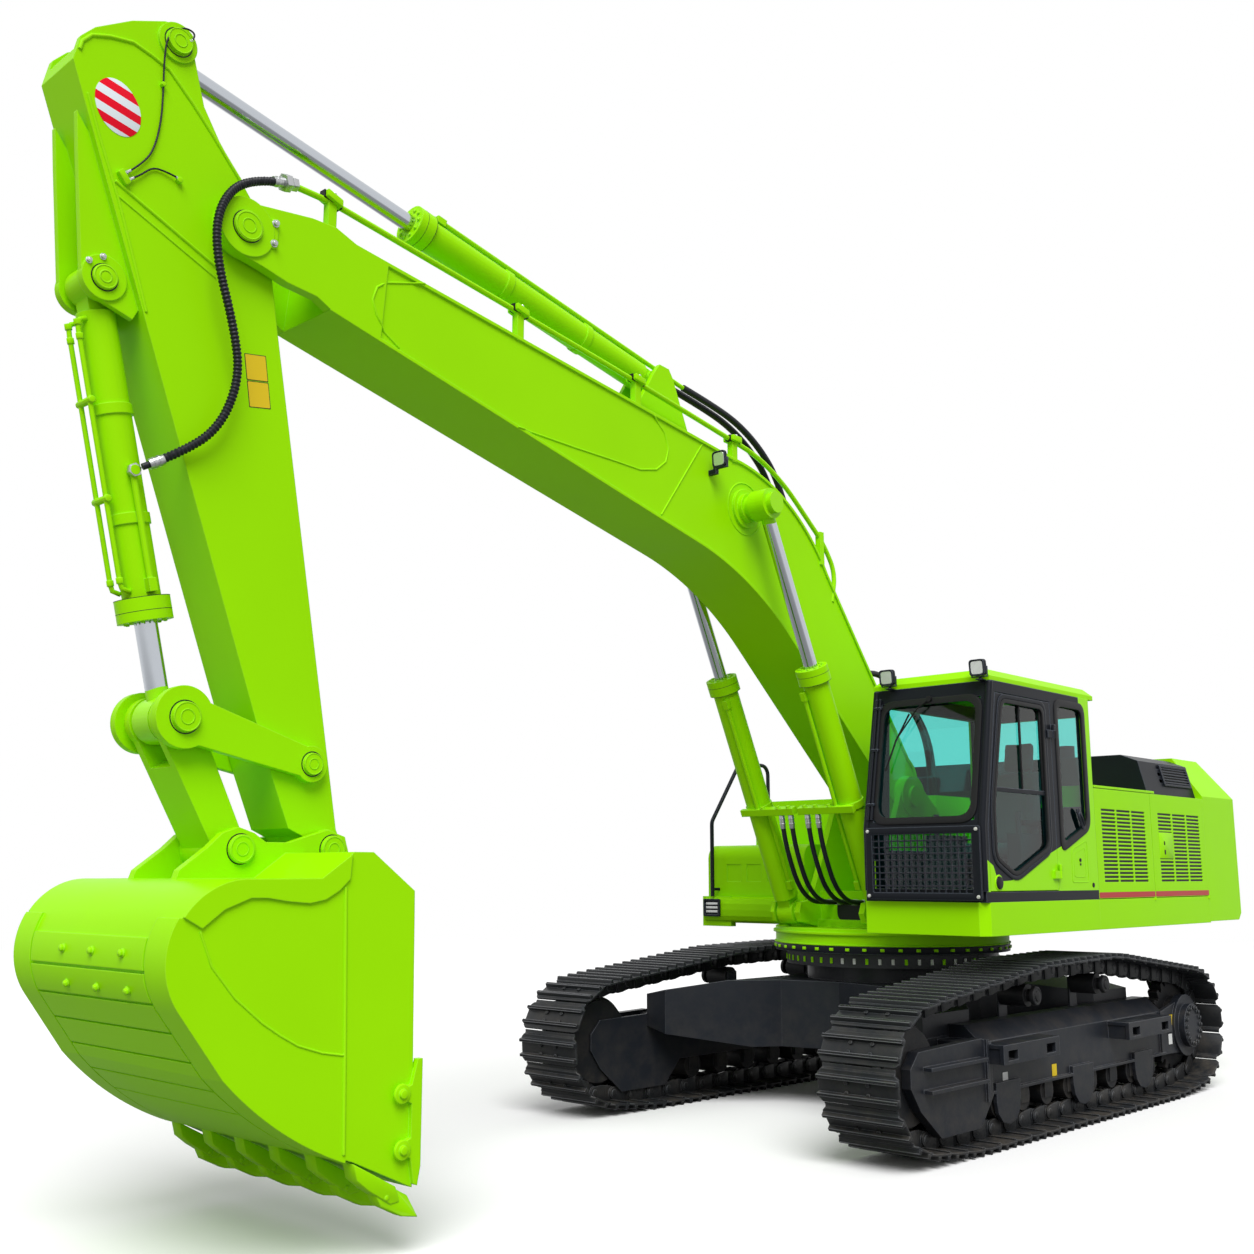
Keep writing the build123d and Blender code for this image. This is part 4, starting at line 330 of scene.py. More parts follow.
def prism(form, outline, low, high, plane="xz"):
    """Add a closed outline pulled from low to high along the third axis."""
    spot = {"xz": lambda a, b, c: (a, c, b), "xy": lambda a, b, c: (a, b, c)}[plane]
    rows = [[form.verts.new(spot(a, b, level)) for a, b in outline] for level in (low, high)]
    form.faces.new(rows[0])
    form.faces.new(rows[1][::-1])
    strip(form, rows[1], rows[0])


def circle(radius, count=24, x=0.0, z=0.0, start=0.0):
    """Places evenly round a circle."""
    turns = [2 * math.pi * (k + start) / count for k in range(count)]
    return [(x + radius * math.cos(a), z + radius * math.sin(a)) for a in turns]


def box_line(u, v):
    """The four corners of a rectangle between pairs of limits."""
    return [(u[0], v[0]), (u[1], v[0]), (u[1], v[1]), (u[0], v[1])]


def block(form, x, y, z):
    """Add a box between pairs of limits."""
    prism(form, box_line(x, z), *y)


def barrel(form, start, end, radius, sides=24, top=None):
    """Add a round bar or cone between two points."""
    start, end = Vector(start), Vector(end)
    turn = (end - start).to_track_quat("Z", "Y").to_matrix().to_4x4()
    bmesh.ops.create_cone(form, cap_ends=True, segments=sides, radius1=radius, radius2=radius if top is None else top,
                          depth=(end - start).length, matrix=Matrix.Translation((start + end) / 2) @ turn)


def shaped(form, name, finish, soften=0.0, smooth=35.0):
    """Turn a bmesh into an object: normals out, bevelled edges, smooth up to an angle."""
    bmesh.ops.recalc_face_normals(form, faces=form.faces)
    mesh = bpy.data.meshes.new(name)
    form.to_mesh(mesh)
    form.free()
    made = linked(name, mesh)
    if soften:
        rounding = made.modifiers.new("edge", "BEVEL")
        rounding.width = soften
        rounding.segments = 2
        rounding.limit_method = "ANGLE"
        rounding.angle_limit = math.radians(38)
        made = baked(made)
    made.data.shade_smooth()
    made.data.set_sharp_from_angle(angle=math.radians(smooth))
    made.data.materials.clear()
    made.data.materials.append(finish)
    return made


def baked(made):
    """Apply an object's modifiers to a plain mesh."""
    bpy.context.view_layer.update()
    seen = made.evaluated_get(bpy.context.evaluated_depsgraph_get())
    mesh = bpy.data.meshes.new_from_object(seen)
    made.modifiers.clear()
    old = made.data
    made.data = mesh
    if old.users == 0:
        bpy.data.meshes.remove(old)
    return made


def plain_mesh(tree, copies, finish):
    """Instances made real, in one finish."""
    real = new_node(tree, "GeometryNodeRealizeInstances", (copies,))[0]
    return new_node(tree, "GeometryNodeSetMaterial", {"Geometry": real, "Material": finish})[0]


# One copy of Piece on each point, turned by the point's own angles.
COPIES, given, out = node_group("placed_copies", "GeometryNodeTree", (("Points", "Geometry"), ("Piece", "Object"),
                                ("Size", "Float"), ("Finish", "Material")), (("Copies", "Geometry"),))
turn = new_node(COPIES, "GeometryNodeInputNamedAttribute", {"Name": "turn"}, data_type="FLOAT_VECTOR")["Attribute"]
onto = new_node(COPIES, "GeometryNodeInstanceOnPoints", {
    "Points": given["Points"], "Scale": given["Size"],
    "Rotation": new_node(COPIES, "FunctionNodeEulerToRotation", (turn,))[0],
    "Instance": new_node(COPIES, "GeometryNodeObjectInfo", {"Object": given["Piece"]})["Geometry"]})[0]
feed(COPIES, out, {"Copies": plain_mesh(COPIES, onto, given["Finish"])})


def run_tree(made, tree, values):
    """Run a geometry tree on an object with these values and keep the mesh it makes."""
    run = made.modifiers.new("tree", "NODES")
    run.node_group = tree
    for item in tree.interface.items_tree:
        if item.in_out == "INPUT" and item.name in values:
            run[item.identifier] = values[item.name]
    return baked(made)


def placed(made, body):
    """Ride on a body."""
    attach(made, body)
    return made


def piece(form, name, finish, body, soften=0.0, smooth=35.0):
    """A bmesh as a finished piece on a body."""
    return placed(shaped(form, name, finish, soften, smooth), body)


def repeated(name, pattern, places, finish, body, size=1.0, shift=(0, 0, 0)):
    """Copy a pattern to each (place, turn) with the copies tree and make it one mesh."""
    points = bpy.data.meshes.new(name)
    points.from_pydata([Vector(p) + Vector(shift) for p, _ in places], [], [])
    turns = points.attributes.new("turn", "FLOAT_VECTOR", "POINT")
    turns.data.foreach_set("vector", [a for _, turn in places for a in turn])
    made = run_tree(linked(name, points), COPIES, {"Piece": pattern, "Size": size, "Finish": finish})
    if "turn" in made.data.attributes:
        made.data.attributes.remove(made.data.attributes["turn"])
    return placed(made, body)


def dropped(*patterns):
    """Remove the small pieces that only served as patterns for copies."""
    for pattern in patterns:
        bpy.data.objects.remove(pattern)


links = chain_places(WHEELS)

form = bmesh.new()
low, high = -CHAIN_HALF - PLATE, -CHAIN_HALF + 0.001
inner = SHOE_HALF - CORNER_CUT
plan = ((-0.104, -inner), (-0.080, -SHOE_HALF), (0.080, -SHOE_HALF), (0.104, -inner),
        (0.104, inner), (0.080, SHOE_HALF), (-0.080, SHOE_HALF), (-0.104, inner))
prism(form, plan, low, high, "xy")
prism(form, ((0.088, low + 0.001), (0.102, low + 0.001), (0.112, high + 0.002), (0.134, high + 0.003),
             (0.134, high + 0.011), (0.106, high + 0.011), (0.088, high)), -inner, inner)
for middle in GROUSER_MIDDLES:
    prism(form, ((middle - 0.018, low + 0.002), (middle + 0.018, low + 0.002), (middle + 0.010, low - GROUSER),
                 (middle - 0.010, low - GROUSER)), -SHOE_HALF, SHOE_HALF)
shoe = shaped(form, "shoe", track_black, soften=0.003)
form = bmesh.new()
for middle in GROUSER_MIDDLES:
    block(form, (middle - 0.0112, middle + 0.0112), (-SHOE_HALF + 0.002, SHOE_HALF - 0.002),
          (low - GROUSER, low - GROUSER + 0.006))
worn_tip = shaped(form, "worn_tip", grouser_steel, soften=0.002)
form = bmesh.new()
for side in (-1, 1):
    for x in SHOE_BOLT_XS:
        y = side * SHOE_BOLT_Y
        barrel(form, (x, y, low + 0.001), (x, y, low - 0.013), 0.016, sides=6)
shoe_bolt = shaped(form, "shoe_bolt", track_black, soften=0.0015)
# One link pair: the rear eyes sit inside the front eyes of the next pair.
form = bmesh.new()
for side in (-1, 1):
    near, far = sorted((side * LINK_IN, side * (LINK_OUT - LINK_PLATE)))
    rear_eye = circle(0.046, 16, -PIN_X, start=4)[:9]
    prism(form, rear_eye + [(-0.040, -CHAIN_HALF), (0.010, -CHAIN_HALF), (0.010, 0.052), (-0.045, 0.058)], near, far)
    near, far = sorted((side * (LINK_IN + LINK_PLATE), side * LINK_OUT))
    front_eye = circle(0.048, 16, PIN_X, start=-4)[:9]
    prism(form, front_eye + [(0.040, 0.058), (-0.012, 0.058), (-0.012, -CHAIN_HALF), (0.050, -CHAIN_HALF)], near, far)
    barrel(form, (PIN_X, side * (LINK_OUT - 0.004), 0), (PIN_X, side * (LINK_OUT + 0.004), 0), 0.026, sides=16)
barrel(form, (PIN_X, -LINK_IN, 0), (PIN_X, LINK_IN, 0), 0.034, sides=16)
link_pair = shaped(form, "link_pair", track_black, soften=0.002)

for side, label in ((1, "left"), (-1, "right")):
    shift = (0, side * TRACK_Y, 0)
    shoes = repeated(f"track_shoes_{label}", shoe, links, track_black, "undercarriage", shift=shift)
    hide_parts(f"track_{label}")
    repeated(f"grouser_tips_{label}", worn_tip, links, grouser_steel, "undercarriage", shift=shift)
    repeated(f"shoe_bolts_{label}", shoe_bolt, links, track_black, "undercarriage", shift=shift)
    repeated(f"chain_links_{label}", link_pair, links, track_black, "undercarriage", shift=shift)
dropped(shoe, worn_tip, shoe_bolt, link_pair)

# ---- Slew ring and car body -------------------------------------------------
# The geared turntable bearing, bolted up all round, on a cast black centre
# section that carries both track frames.
# The lighter grey on the frames' edges is a painted highlight.
chassis_black = coating("chassis_black", (0.0125, 0.0150, 0.0205), 0.40, coat=0.05, radius=0.008,
                        edge_wear_and_highlight=(0.12, 0.13, 0.15), edge_wear_and_highlight_share=0.7, dusty=0.30, scale=70, bump=0.22, tone=0.25)
cast_black = coating("cast_black", (0.009, 0.010, 0.012), 0.52, radius=0.006, edge_wear_and_highlight=(0.10, 0.10, 0.11), edge_wear_and_highlight_share=0.45,
                     dusty=0.45, scale=45, bump=0.5, tone=0.3)
bearing_steel = coating("bearing_steel", (0.035, 0.037, 0.040), 0.42, metallic=0.5, radius=0.004, dusty=0.3,
                        scale=90, bump=0.3, tone=0.3)


def dress(finish, *names):
    """Give every material slot of these CAD nodes one finish."""
    for name in names:
        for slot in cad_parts[name].material_slots:
            slot.material = finish


def hexagon_bolt(name, across, tall, finish):
    """A hex head on its washer, standing along +Z from the origin."""
    form = bmesh.new()
    barrel(form, (0, 0, 0), (0, 0, tall * 0.25), across * 0.72, sides=20)
    barrel(form, (0, 0, tall * 0.2), (0, 0, tall), across * 0.577, sides=6)
    barrel(form, (0, 0, tall), (0, 0, tall * 1.12), across * 0.34, sides=12, top=across * 0.28)
    return shaped(form, name, finish, soften=across * 0.05)


dress(chassis_black, "car_body", "track_frame_left", "track_frame_right")
dress(cast_black, "idler_left", "idler_right", "sprocket_left", "sprocket_right", "rollers_left", "rollers_right")
dress(bearing_steel, "slew_ring")

# ---- Green steelwork --------------------------------------------------------
# Everything above the slew ring is welded plate in one bright green enamel,
# two coats over primer, with a little orange peel and softened edges.
ENAMEL = (0.315, 0.760, 0.001)
# The lighter green laid on its edges is a painted highlight.
green = coating("green_enamel", ENAMEL, 0.36, radius=0.007, edge_wear_and_highlight=(0.46, 0.90, 0.10),
                edge_wear_and_highlight_share=0.35, scale=55, bump=0.10, tone=0.05, dusty=0.0, gloss=0.05)
dress(green, "boom", "arm", "bucket", "bucket_teeth", "rocker_links", "h_link", "lift_barrel_left",
      "lift_barrel_right", "crowd_barrel", "curl_barrel", "main_frame", "side_skirts", "cab_platform", "counterweight",
      "house_frame", "fuel_tank", "tool_box", "vent_door_front", "vent_door_rear", "pump_door", "cab_roof")

# ---- Hood, exhaust and handrail ---------------------------------------------
# The engine hood and the handrail are a satin black, the exhaust a heat-dulled
# black; the engine and cooler show only as dark shapes behind the slots.
# The lighter blue-grey on its edges is a painted highlight; the cab's black is a copy of it.
satin_black = coating("satin_black", (0.0095, 0.011, 0.015), 0.36, radius=0.010, edge_wear_and_highlight=(0.14, 0.16, 0.20),
                      edge_wear_and_highlight_share=0.7, scale=80, bump=0.15, tone=0.12, gloss=0.10)
engine_grey = coating("engine_grey", (0.03, 0.03, 0.032), 0.6, radius=0.008, dusty=0.3, scale=40, bump=0.4, tone=0.3)
dress(satin_black, "engine_hood", "exhaust", "handrail", "mesh_guard", "work_lamps", "boom_lamp")
dress(engine_grey, "engine_block", "cooler")

# ---- Cylinder rods ----------------------------------------------------------
# Hard-chromed rods, ground and polished, a little hazed by use; the forged eye
# welded to each rod's end is painted green like the barrels.


def rod_finish(name, eye_x, eye_z, reach):
    """Chrome, with green enamel within reach of the eye's pin."""
    made, tree, shader = material(name)
    where = object_place(tree)
    away = vectors(tree, "DISTANCE", vectors(tree, "MULTIPLY", where, (1, 0, 1))[0], (eye_x, 0, eye_z))["Value"]
    bare = maths(tree, "GREATER_THAN", away, reach)
    haze = new_node(tree, "ShaderNodeTexNoise", {"Vector": where, "Scale": 14, "Detail": 6})["Fac"]
    ground = ranged(tree, haze, to_low=0.07, to_high=0.22)
    rough = new_node(tree, "ShaderNodeMix", {"Factor": bare, "A": 0.34, "B": ground})["Result"]
    feed(tree, shader, {"Base Color": mixed(tree, bare, (*ENAMEL, 1), (0.52, 0.55, 0.59, 1)), "Metallic": bare,
                        "Roughness": rough, "Specular IOR Level": 0.2})
    return made


dress(rod_finish("lift_rod_finish", 2.210, 4.530, 0.150), "lift_rod_left", "lift_rod_right")
dress(rod_finish("crowd_rod_finish", 6.915, 6.180, 0.150), "crowd_rod")
dress(rod_finish("curl_rod_finish", 6.675, 2.591, 0.170), "curl_rod")

# ---- Cab --------------------------------------------------------------------
# A black pressed-steel cab on rubber mounts. The lower side panels and the
# rear post are sprayed green up to a line that climbs towards the back.
CAB_LINE = ((1.40, 1.935), (1.289, 1.882), (1.240, 1.790), (1.150, 1.775), (1.028, 1.780), (0.454, 1.968),
            (-0.185, 2.153))
LINE_LOW, LINE_HIGH = 1.70, 2.20
CAB_GREEN = (0.315, 0.775, 0.003, 1)
GREEN_FOOT, GREEN_FRONT = 1.702, 1.394
ROOM_MIDDLE, ROOM_HALF = (0.520, 1.190, 0), (0.862, 0.472)
cab_black = satin_black.copy()
cab_black.name = "cab_black"
tree = cab_black.node_tree
shader = tree.nodes["Principled BSDF"]
where = object_place(tree)
x, _, z = new_node(tree, "ShaderNodeSeparateXYZ", (where,))
first_x, last_x = CAB_LINE[-1][0], CAB_LINE[0][0]
rise = tree.nodes.new("ShaderNodeFloatCurve")
feed(tree, rise, {"Value": ranged(tree, x, first_x, last_x)})
curve = rise.mapping.curves[0]
steps = [((x_at - first_x) / (last_x - first_x), (z_at - LINE_LOW) / (LINE_HIGH - LINE_LOW))
         for x_at, z_at in reversed(CAB_LINE)]
curve.points[0].location, curve.points[1].location = steps[0], steps[-1]
for spot in steps[1:-1]:
    curve.points.new(*spot)
for point in curve.points:
    point.handle_type = "VECTOR"
rise.mapping.update()
line = ranged(tree, rise.outputs["Value"], to_low=LINE_LOW, to_high=LINE_HIGH)
sprayed = maths(tree, "MAXIMUM", maths(tree, "LESS_THAN", z, line), maths(tree, "LESS_THAN", x, first_x))
sprayed = maths(tree, "MULTIPLY", sprayed, maths(tree, "GREATER_THAN", z, GREEN_FOOT))
sprayed = maths(tree, "MULTIPLY", sprayed, maths(tree, "LESS_THAN", x, GREEN_FRONT))
# The faces that look into the cab's room stay black.
from_middle = vectors(tree, "ABSOLUTE", vectors(tree, "SUBTRACT", where, ROOM_MIDDLE)[0])[0]
near_x, near_y, _ = new_node(tree, "ShaderNodeSeparateXYZ", (from_middle,))
inside = maths(tree, "MULTIPLY", maths(tree, "LESS_THAN", near_x, ROOM_HALF[0]),
               maths(tree, "LESS_THAN", near_y, ROOM_HALF[1]))
outside_only = maths(tree, "SUBTRACT", sprayed, inside, use_clamp=True)
before = shader.inputs["Base Color"].links[0].from_socket
feed(tree, shader, {"Base Color": mixed(tree, outside_only, before, CAB_GREEN)})
dress(cab_black, "cab_frame", "cab_door")

glass, tree, shader = material("tinted_pane")
tree.nodes.remove(shader)
through = new_node(tree, "ShaderNodeBsdfTransparent", {"Color": (0.56, 0.895, 0.87, 1)})[0]
shine = new_node(tree, "ShaderNodeBsdfGlossy", {"Roughness": 0.03})[0]
outer_only = maths(tree, "SUBTRACT", new_node(tree, "ShaderNodeFresnel", {"IOR": 1.5})[0],
                   new_node(tree, "ShaderNodeNewGeometry")["Backfacing"], use_clamp=True)
feed(tree, tree.nodes["Material Output"],
     {"Surface": new_node(tree, "ShaderNodeMixShader", (outer_only, through, shine))[0]})
dress(glass, "cab_glass", "cab_door_glass")

interior = coating("moulded_plastic", (0.012, 0.014, 0.016), 0.55, radius=0.006, scale=300, bump=0.3, tone=0.1)
dress(interior, "cab_controls", "operator_seat")

# ---- Hoses ------------------------------------------------------------------
# Steel-wound rubber hose between the hard pipes and the parts that move. The
# one at the stick carries a ribbed guard; the rest are plain smooth covers.
rubber = coating("hose_cover", (0.008, 0.0095, 0.013), 0.42, radius=0.0, scale=240, bump=0.25, tone=0.15)
HOSE_SIDES = 16


def hose_line(route):
    """The smooth line of a hose, read from a NURBS spline with the route as its control points."""
    curve = bpy.data.curves.new("route", "CURVE")
    curve.dimensions = "3D"
    curve.resolution_u = 64
    spline = curve.splines.new("NURBS")
    spline.points.add(len(route) - 1)
    for point, spot in zip(spline.points, route):
        point.co = (*spot, 1)
    spline.order_u = 3
    spline.use_endpoint_u = True
    guide = linked("route", curve)
    mesh = bpy.data.meshes.new_from_object(guide)
    line = [vert.co.copy() for vert in mesh.vertices]
    bpy.data.objects.remove(guide)
    bpy.data.curves.remove(curve)
    bpy.data.meshes.remove(mesh)
    return line


def swept(form, line, radius_at, sides=HOSE_SIDES):
    """Add a closed round skin along a line; radius_at gives the radius at each distance."""
    ways = [(b - a).normalized() for a, b in zip(line, line[1:])]
    ways = [ways[0]] + [(a + b).normalized() for a, b in zip(ways, ways[1:])] + [ways[-1]]
    across = ways[0].orthogonal().normalized()
    rings, gone = [], 0.0
    for i, (spot, way) in enumerate(zip(line, ways)):
        if i:
            gone += (spot - line[i - 1]).length
            across = (across - way * across.dot(way)).normalized()
        other = way.cross(across)
        r = radius_at(gone)
        rings.append([form.verts.new(spot + r * (across * math.cos(a) + other * math.sin(a)))
                      for a in [2 * math.pi * k / sides for k in range(sides)]])
    for near, far in zip(rings, rings[1:]):
        strip(form, near, far)
    form.faces.new(rings[0][::-1])
    form.faces.new(rings[-1])


def hose(node, route, diameter, rib=0.0, pitch=0.012, neck=0.0):
    """A hose in place of its CAD node: swept along its route, with the CAD node hidden."""
    line = hose_line(route)
    form = bmesh.new()
    full = diameter / 2
    whole = sum((b - a).length for a, b in zip(line, line[1:]))

    def radius_at(s):
        if s > whole - neck:
            return full * 0.7
        return full - rib * (0.5 + 0.5 * math.cos(2 * math.pi * s / pitch))

    swept(form, line, radius_at)
    made = shaped(form, node + "_cover", rubber, smooth=50)
    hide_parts(node)
    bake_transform(made)


ARM_HOSE = ((6.275, 0.250, 5.603), (6.520, 0.275, 5.530), (6.700, 0.320, 5.290), (6.700, 0.320, 5.010),
            (6.560, 0.300, 4.650), (6.500, 0.282, 4.390), (6.590, 0.262, 4.100), (6.780, 0.222, 3.930),
            (6.950, 0.168, 3.832))
TOP_HOSE = ((2.664, 5.420), (2.350, 5.375), (2.010, 5.300), (1.720, 5.150), (1.510, 4.950), (1.400, 4.710))
TOP_HOSE_YS = (0.045, -0.045)
INNER_FOOT_HOSE = ((0.325, 3.292), (0.110, 3.370), (-0.150, 3.330), (-0.390, 3.170), (-0.520, 2.950), (-0.560, 2.720),
                   (-0.560, 2.500))
OUTER_FOOT_HOSE = ((0.420, 3.412), (0.130, 3.560), (-0.230, 3.540), (-0.580, 3.360), (-0.860, 3.100), (-0.960, 2.800),
                   (-0.960, 2.500))
LIFT_HOSE = ((1.265, 2.288), (1.240, 2.130), (1.165, 1.930), (1.060, 1.730), (0.900, 1.612), (0.730, 1.600),
             (0.595, 1.600))
LIFT_HOSE_ROWS = {"lift_barrel_left": (0.185, 0.085), "lift_barrel_right": (-0.075, -0.165)}


def at_y(route, y):
    """A flat route set at one distance from the machine's middle."""
    return tuple((x, y, z) for x, z in route)


hose("arm_hose", ARM_HOSE, 0.050, rib=0.006, pitch=0.021, neck=0.045)
for label, y in zip(("left", "right"), TOP_HOSE_YS):
    route = at_y(TOP_HOSE, y)
    hose(f"top_hose_{label}", route, 0.052)
for label, y, flat, length in (("left", 0.100, INNER_FOOT_HOSE, 1.470), ("right", -0.100, OUTER_FOOT_HOSE, 2.049)):
    route = at_y(flat, y)
    hose(f"foot_hose_{label}", route, 0.052)
lift_rows = [(body, y) for body, rows in LIFT_HOSE_ROWS.items() for y in rows]
for number, (body, y) in enumerate(lift_rows, start=1):
    route = at_y(LIFT_HOSE, y)
    hose(f"lift_hose_{number}", route, 0.038)

# ---- Cab fittings -----------------------------------------------------------
# Rubber glazing seals, a raised door rim, the sliding window's bars, the wiper,
# a round blanking cap, the rear locker's lid with its lock, and corner tubes.
CAB_SIDE = 1.680
SILL_Z, BROW_SLOPE = 2.160, 0.2 / 1.04
# This dark rubber also makes the flat dark patches of painted shade in the door louvres, behind the hood grilles and
# in the hose port.
dark_rubber_and_shade = coating("dark_rubber_and_shade", (0.006, 0.006, 0.007), 0.5, radius=0.0, scale=200, bump=0.2, tone=0.1)
bright_bolt = coating("bright_bolt", (0.62, 0.62, 0.58), 0.35, metallic=0.6, radius=0.002, scale=90, bump=0.1,
                      tone=0.2)


def cab_front(z):
    """X of the cab's front face: upright to the sill, leaning back above it."""
    return 1.400 - max(0.0, z - SILL_Z) * BROW_SLOPE


def grown(outline, by):
    """A closed outline with every side moved outwards by the same distance."""
    area = sum(a[0] * b[1] - b[0] * a[1] for a, b in zip(outline, outline[1:] + outline[:1]))
    turn = 1 if area > 0 else -1
    moved = []
    for i, (x, z) in enumerate(outline):
        (xa, za), (xb, zb) = outline[i - 1], outline[(i + 1) % len(outline)]
        first, second = Vector((x - xa, z - za)).normalized(), Vector((xb - x, zb - z)).normalized()
        out_a, out_b = Vector((first.y, -first.x)) * turn, Vector((second.y, -second.x)) * turn
        mitre = (out_a + out_b) / (1 + out_a.dot(out_b))
        moved.append((x + mitre.x * by, z + mitre.y * by))
    return moved


def eased(outline, radius, steps=6):
    """A closed outline with rounded corners."""
    points = []
    for i, corner in enumerate(outline):
        here = Vector(corner)
        a, b = Vector(outline[i - 1]) - here, Vector(outline[(i + 1) % len(outline)]) - here
        a, b = a.normalized() * min(radius, a.length * 0.45), b.normalized() * min(radius, b.length * 0.45)
        for k in range(steps + 1):
            t = k / steps
            spot = here + a * (1 - t) ** 2 + b * t ** 2
            points.append((spot.x, spot.y))
    return points


def rim(form, inner, outer, low, high, spot):
    """A flat ring between two outlines of equal count, from low to high."""
    rows = [[form.verts.new(spot(u, v, level)) for u, v in line] for line, level in
            ((inner, low), (outer, low), (outer, high), (inner, high))]
    for near, far in zip(rows, rows[1:] + rows[:1]):
        strip(form, near, far)


def on_side(u, v, w):
    """A point on the cab's left side, w metres proud of it."""
    return (u, CAB_SIDE + w, v)


def on_front(u, v, w):
    """A point on the cab's front, u across and v up, w metres proud of it."""
    return (cab_front(v) + w, u, v)


def run(form, onto, spots, radius, sides=HOSE_SIDES):
    """A round bar through (u, v, w) places on a face."""
    swept(form, [Vector(onto(*spot)) for spot in spots], lambda s: radius, sides)


SHIELD = box_line((0.775, 1.605), (2.200, 3.090))
QUARTER = [(-0.230, 2.200), (0.200, 2.040), (0.200, 3.110), (-0.230, 3.110)]
DOOR_PANE = [(0.440, 2.020), (0.970, 1.820), (1.240, 1.940), (1.240, 2.300), (1.067, 3.060), (0.440, 3.060)]
form = bmesh.new()
rim(form, eased(grown(SHIELD, -0.030), 0.11), eased(grown(SHIELD, 0.020), 0.13), -0.012, 0.010, on_front)
rim(form, eased(grown(QUARTER, -0.012), 0.07), eased(grown(QUARTER, 0.045), 0.10), -0.012, 0.006, on_side)
piece(form, "glazing_seals", dark_rubber_and_shade, "upper_structure", soften=0.003, smooth=40)
form = bmesh.new()
rim(form, eased(grown(DOOR_PANE, -0.012), 0.06), eased(grown(DOOR_PANE, 0.020), 0.08), -0.012, 0.009, on_side)
block(form, (0.778, 0.796), (CAB_SIDE - 0.020, CAB_SIDE - 0.004), (2.436, 3.058))
block(form, (0.452, 0.470), (CAB_SIDE - 0.020, CAB_SIDE - 0.006), (2.436, 3.052))
piece(form, "door_seals", dark_rubber_and_shade, "cab_door", soften=0.003, smooth=40)
form = bmesh.new()
rim(form, eased(grown(DOOR_PANE, 0.022), 0.08), eased(grown(DOOR_PANE, 0.054), 0.10), -0.001, 0.007, on_side)
piece(form, "door_rim", satin_black, "cab_door", soften=0.004, smooth=40)

form = bmesh.new()
for y, size in ((CAB_SIDE - 0.016, 0.026), (0.716, 0.024)):
    run(form, on_front, [(y, z, -0.006) for z in (1.705, 2.16, 3.19)], size)
for y in (0.735, 0.765):
    run(form, on_front, [(y, z, 0.016) for z in (2.22, 2.30, 2.70, 3.05, 3.13)], 0.011)
for z in (2.33, 2.74, 3.06):
    block(form, (cab_front(z) - 0.004, cab_front(z) + 0.032), (0.718, 0.785), (z - 0.008, z + 0.008))
piece(form, "cab_corner_tubes", satin_black, "upper_structure", smooth=50)

form = bmesh.new()
barrel(form, on_front(1.19, 3.10, -0.002), on_front(1.19, 3.10, 0.030), 0.022, sides=16)
run(form, on_front, ((1.19, 3.10, 0.020), (1.10, 3.03, 0.030), (0.93, 2.80, 0.026)), 0.006, 8)
run(form, on_front, ((1.03, 3.00, 0.018), (0.93, 2.80, 0.018), (0.86, 2.58, 0.018)), 0.007, 8)
piece(form, "wiper", dark_rubber_and_shade, "upper_structure", smooth=50)

CAP_AT = (1.222, 1.764)
form = bmesh.new()
barrel(form, on_side(*CAP_AT, -0.002), on_side(*CAP_AT, 0.005), 0.058, sides=32, top=0.054)
piece(form, "blanking_collar", green, "upper_structure", soften=0.001)
form = bmesh.new()
barrel(form, on_side(*CAP_AT, 0.001), on_side(*CAP_AT, 0.013), 0.047, sides=32, top=0.043)
barrel(form, on_side(*CAP_AT, 0.012), on_side(*CAP_AT, 0.015), 0.036, sides=32, top=0.034)
piece(form, "door_blanking_cap", dark_rubber_and_shade, "cab_door", soften=0.002)
form = bmesh.new()
LOCKER = [(0.090, 1.760), (0.070, 2.010), (-0.195, 2.085), (-0.195, 1.760)]
rim(form, eased(grown(LOCKER, -0.006), 0.03), eased(LOCKER, 0.035), -0.001, 0.0022, on_side)
rim(form, eased(grown(LOCKER, -0.045), 0.03), eased(grown(LOCKER, -0.040), 0.03), -0.001, 0.0018, on_side)
piece(form, "locker_lid", green, "upper_structure", soften=0.0008)
form = bmesh.new()
barrel(form, on_side(-0.063, 1.930, -0.001), on_side(-0.063, 1.930, 0.006), 0.014, sides=20)
barrel(form, on_side(-0.268, 1.741, -0.001), on_side(-0.268, 1.741, 0.005), 0.018, sides=20)
block(form, (-0.075, -0.055), (CAB_SIDE, CAB_SIDE + 0.004), (1.890, 1.906))
piece(form, "locker_lock", dark_rubber_and_shade, "upper_structure", soften=0.001)
form = bmesh.new()
HANDLE = [(-0.035, 2.300), (-0.060, 2.330), (-0.110, 2.300), (-0.165, 2.190), (-0.160, 2.165), (-0.120, 2.165)]
prism(form, eased(HANDLE, 0.02), CAB_SIDE, CAB_SIDE + 0.012)
run(form, on_side, ((-0.070, 2.290, 0.012), (-0.105, 2.245, 0.020), (-0.140, 2.190, 0.012)), 0.009, 12)
piece(form, "cab_side_handle", satin_black, "upper_structure", soften=0.002)

# ---- Mesh guard -------------------------------------------------------------
# A welded grid of 11 mm wire in a flat steel frame, held off the lower windscreen
# by four studs with white-capped nuts.
GUARD_Y, GUARD_Z, GUARD_X = (0.742, 1.678), (1.642, 2.158), (1.441, 1.459)
GRID_Y, GRID_Z = (0.800, 1.610), (1.695, 2.105)
UPRIGHTS, CROSSBARS, WIRE_RADIUS = 14, 8, 0.0055
WIRE_END = 0.01

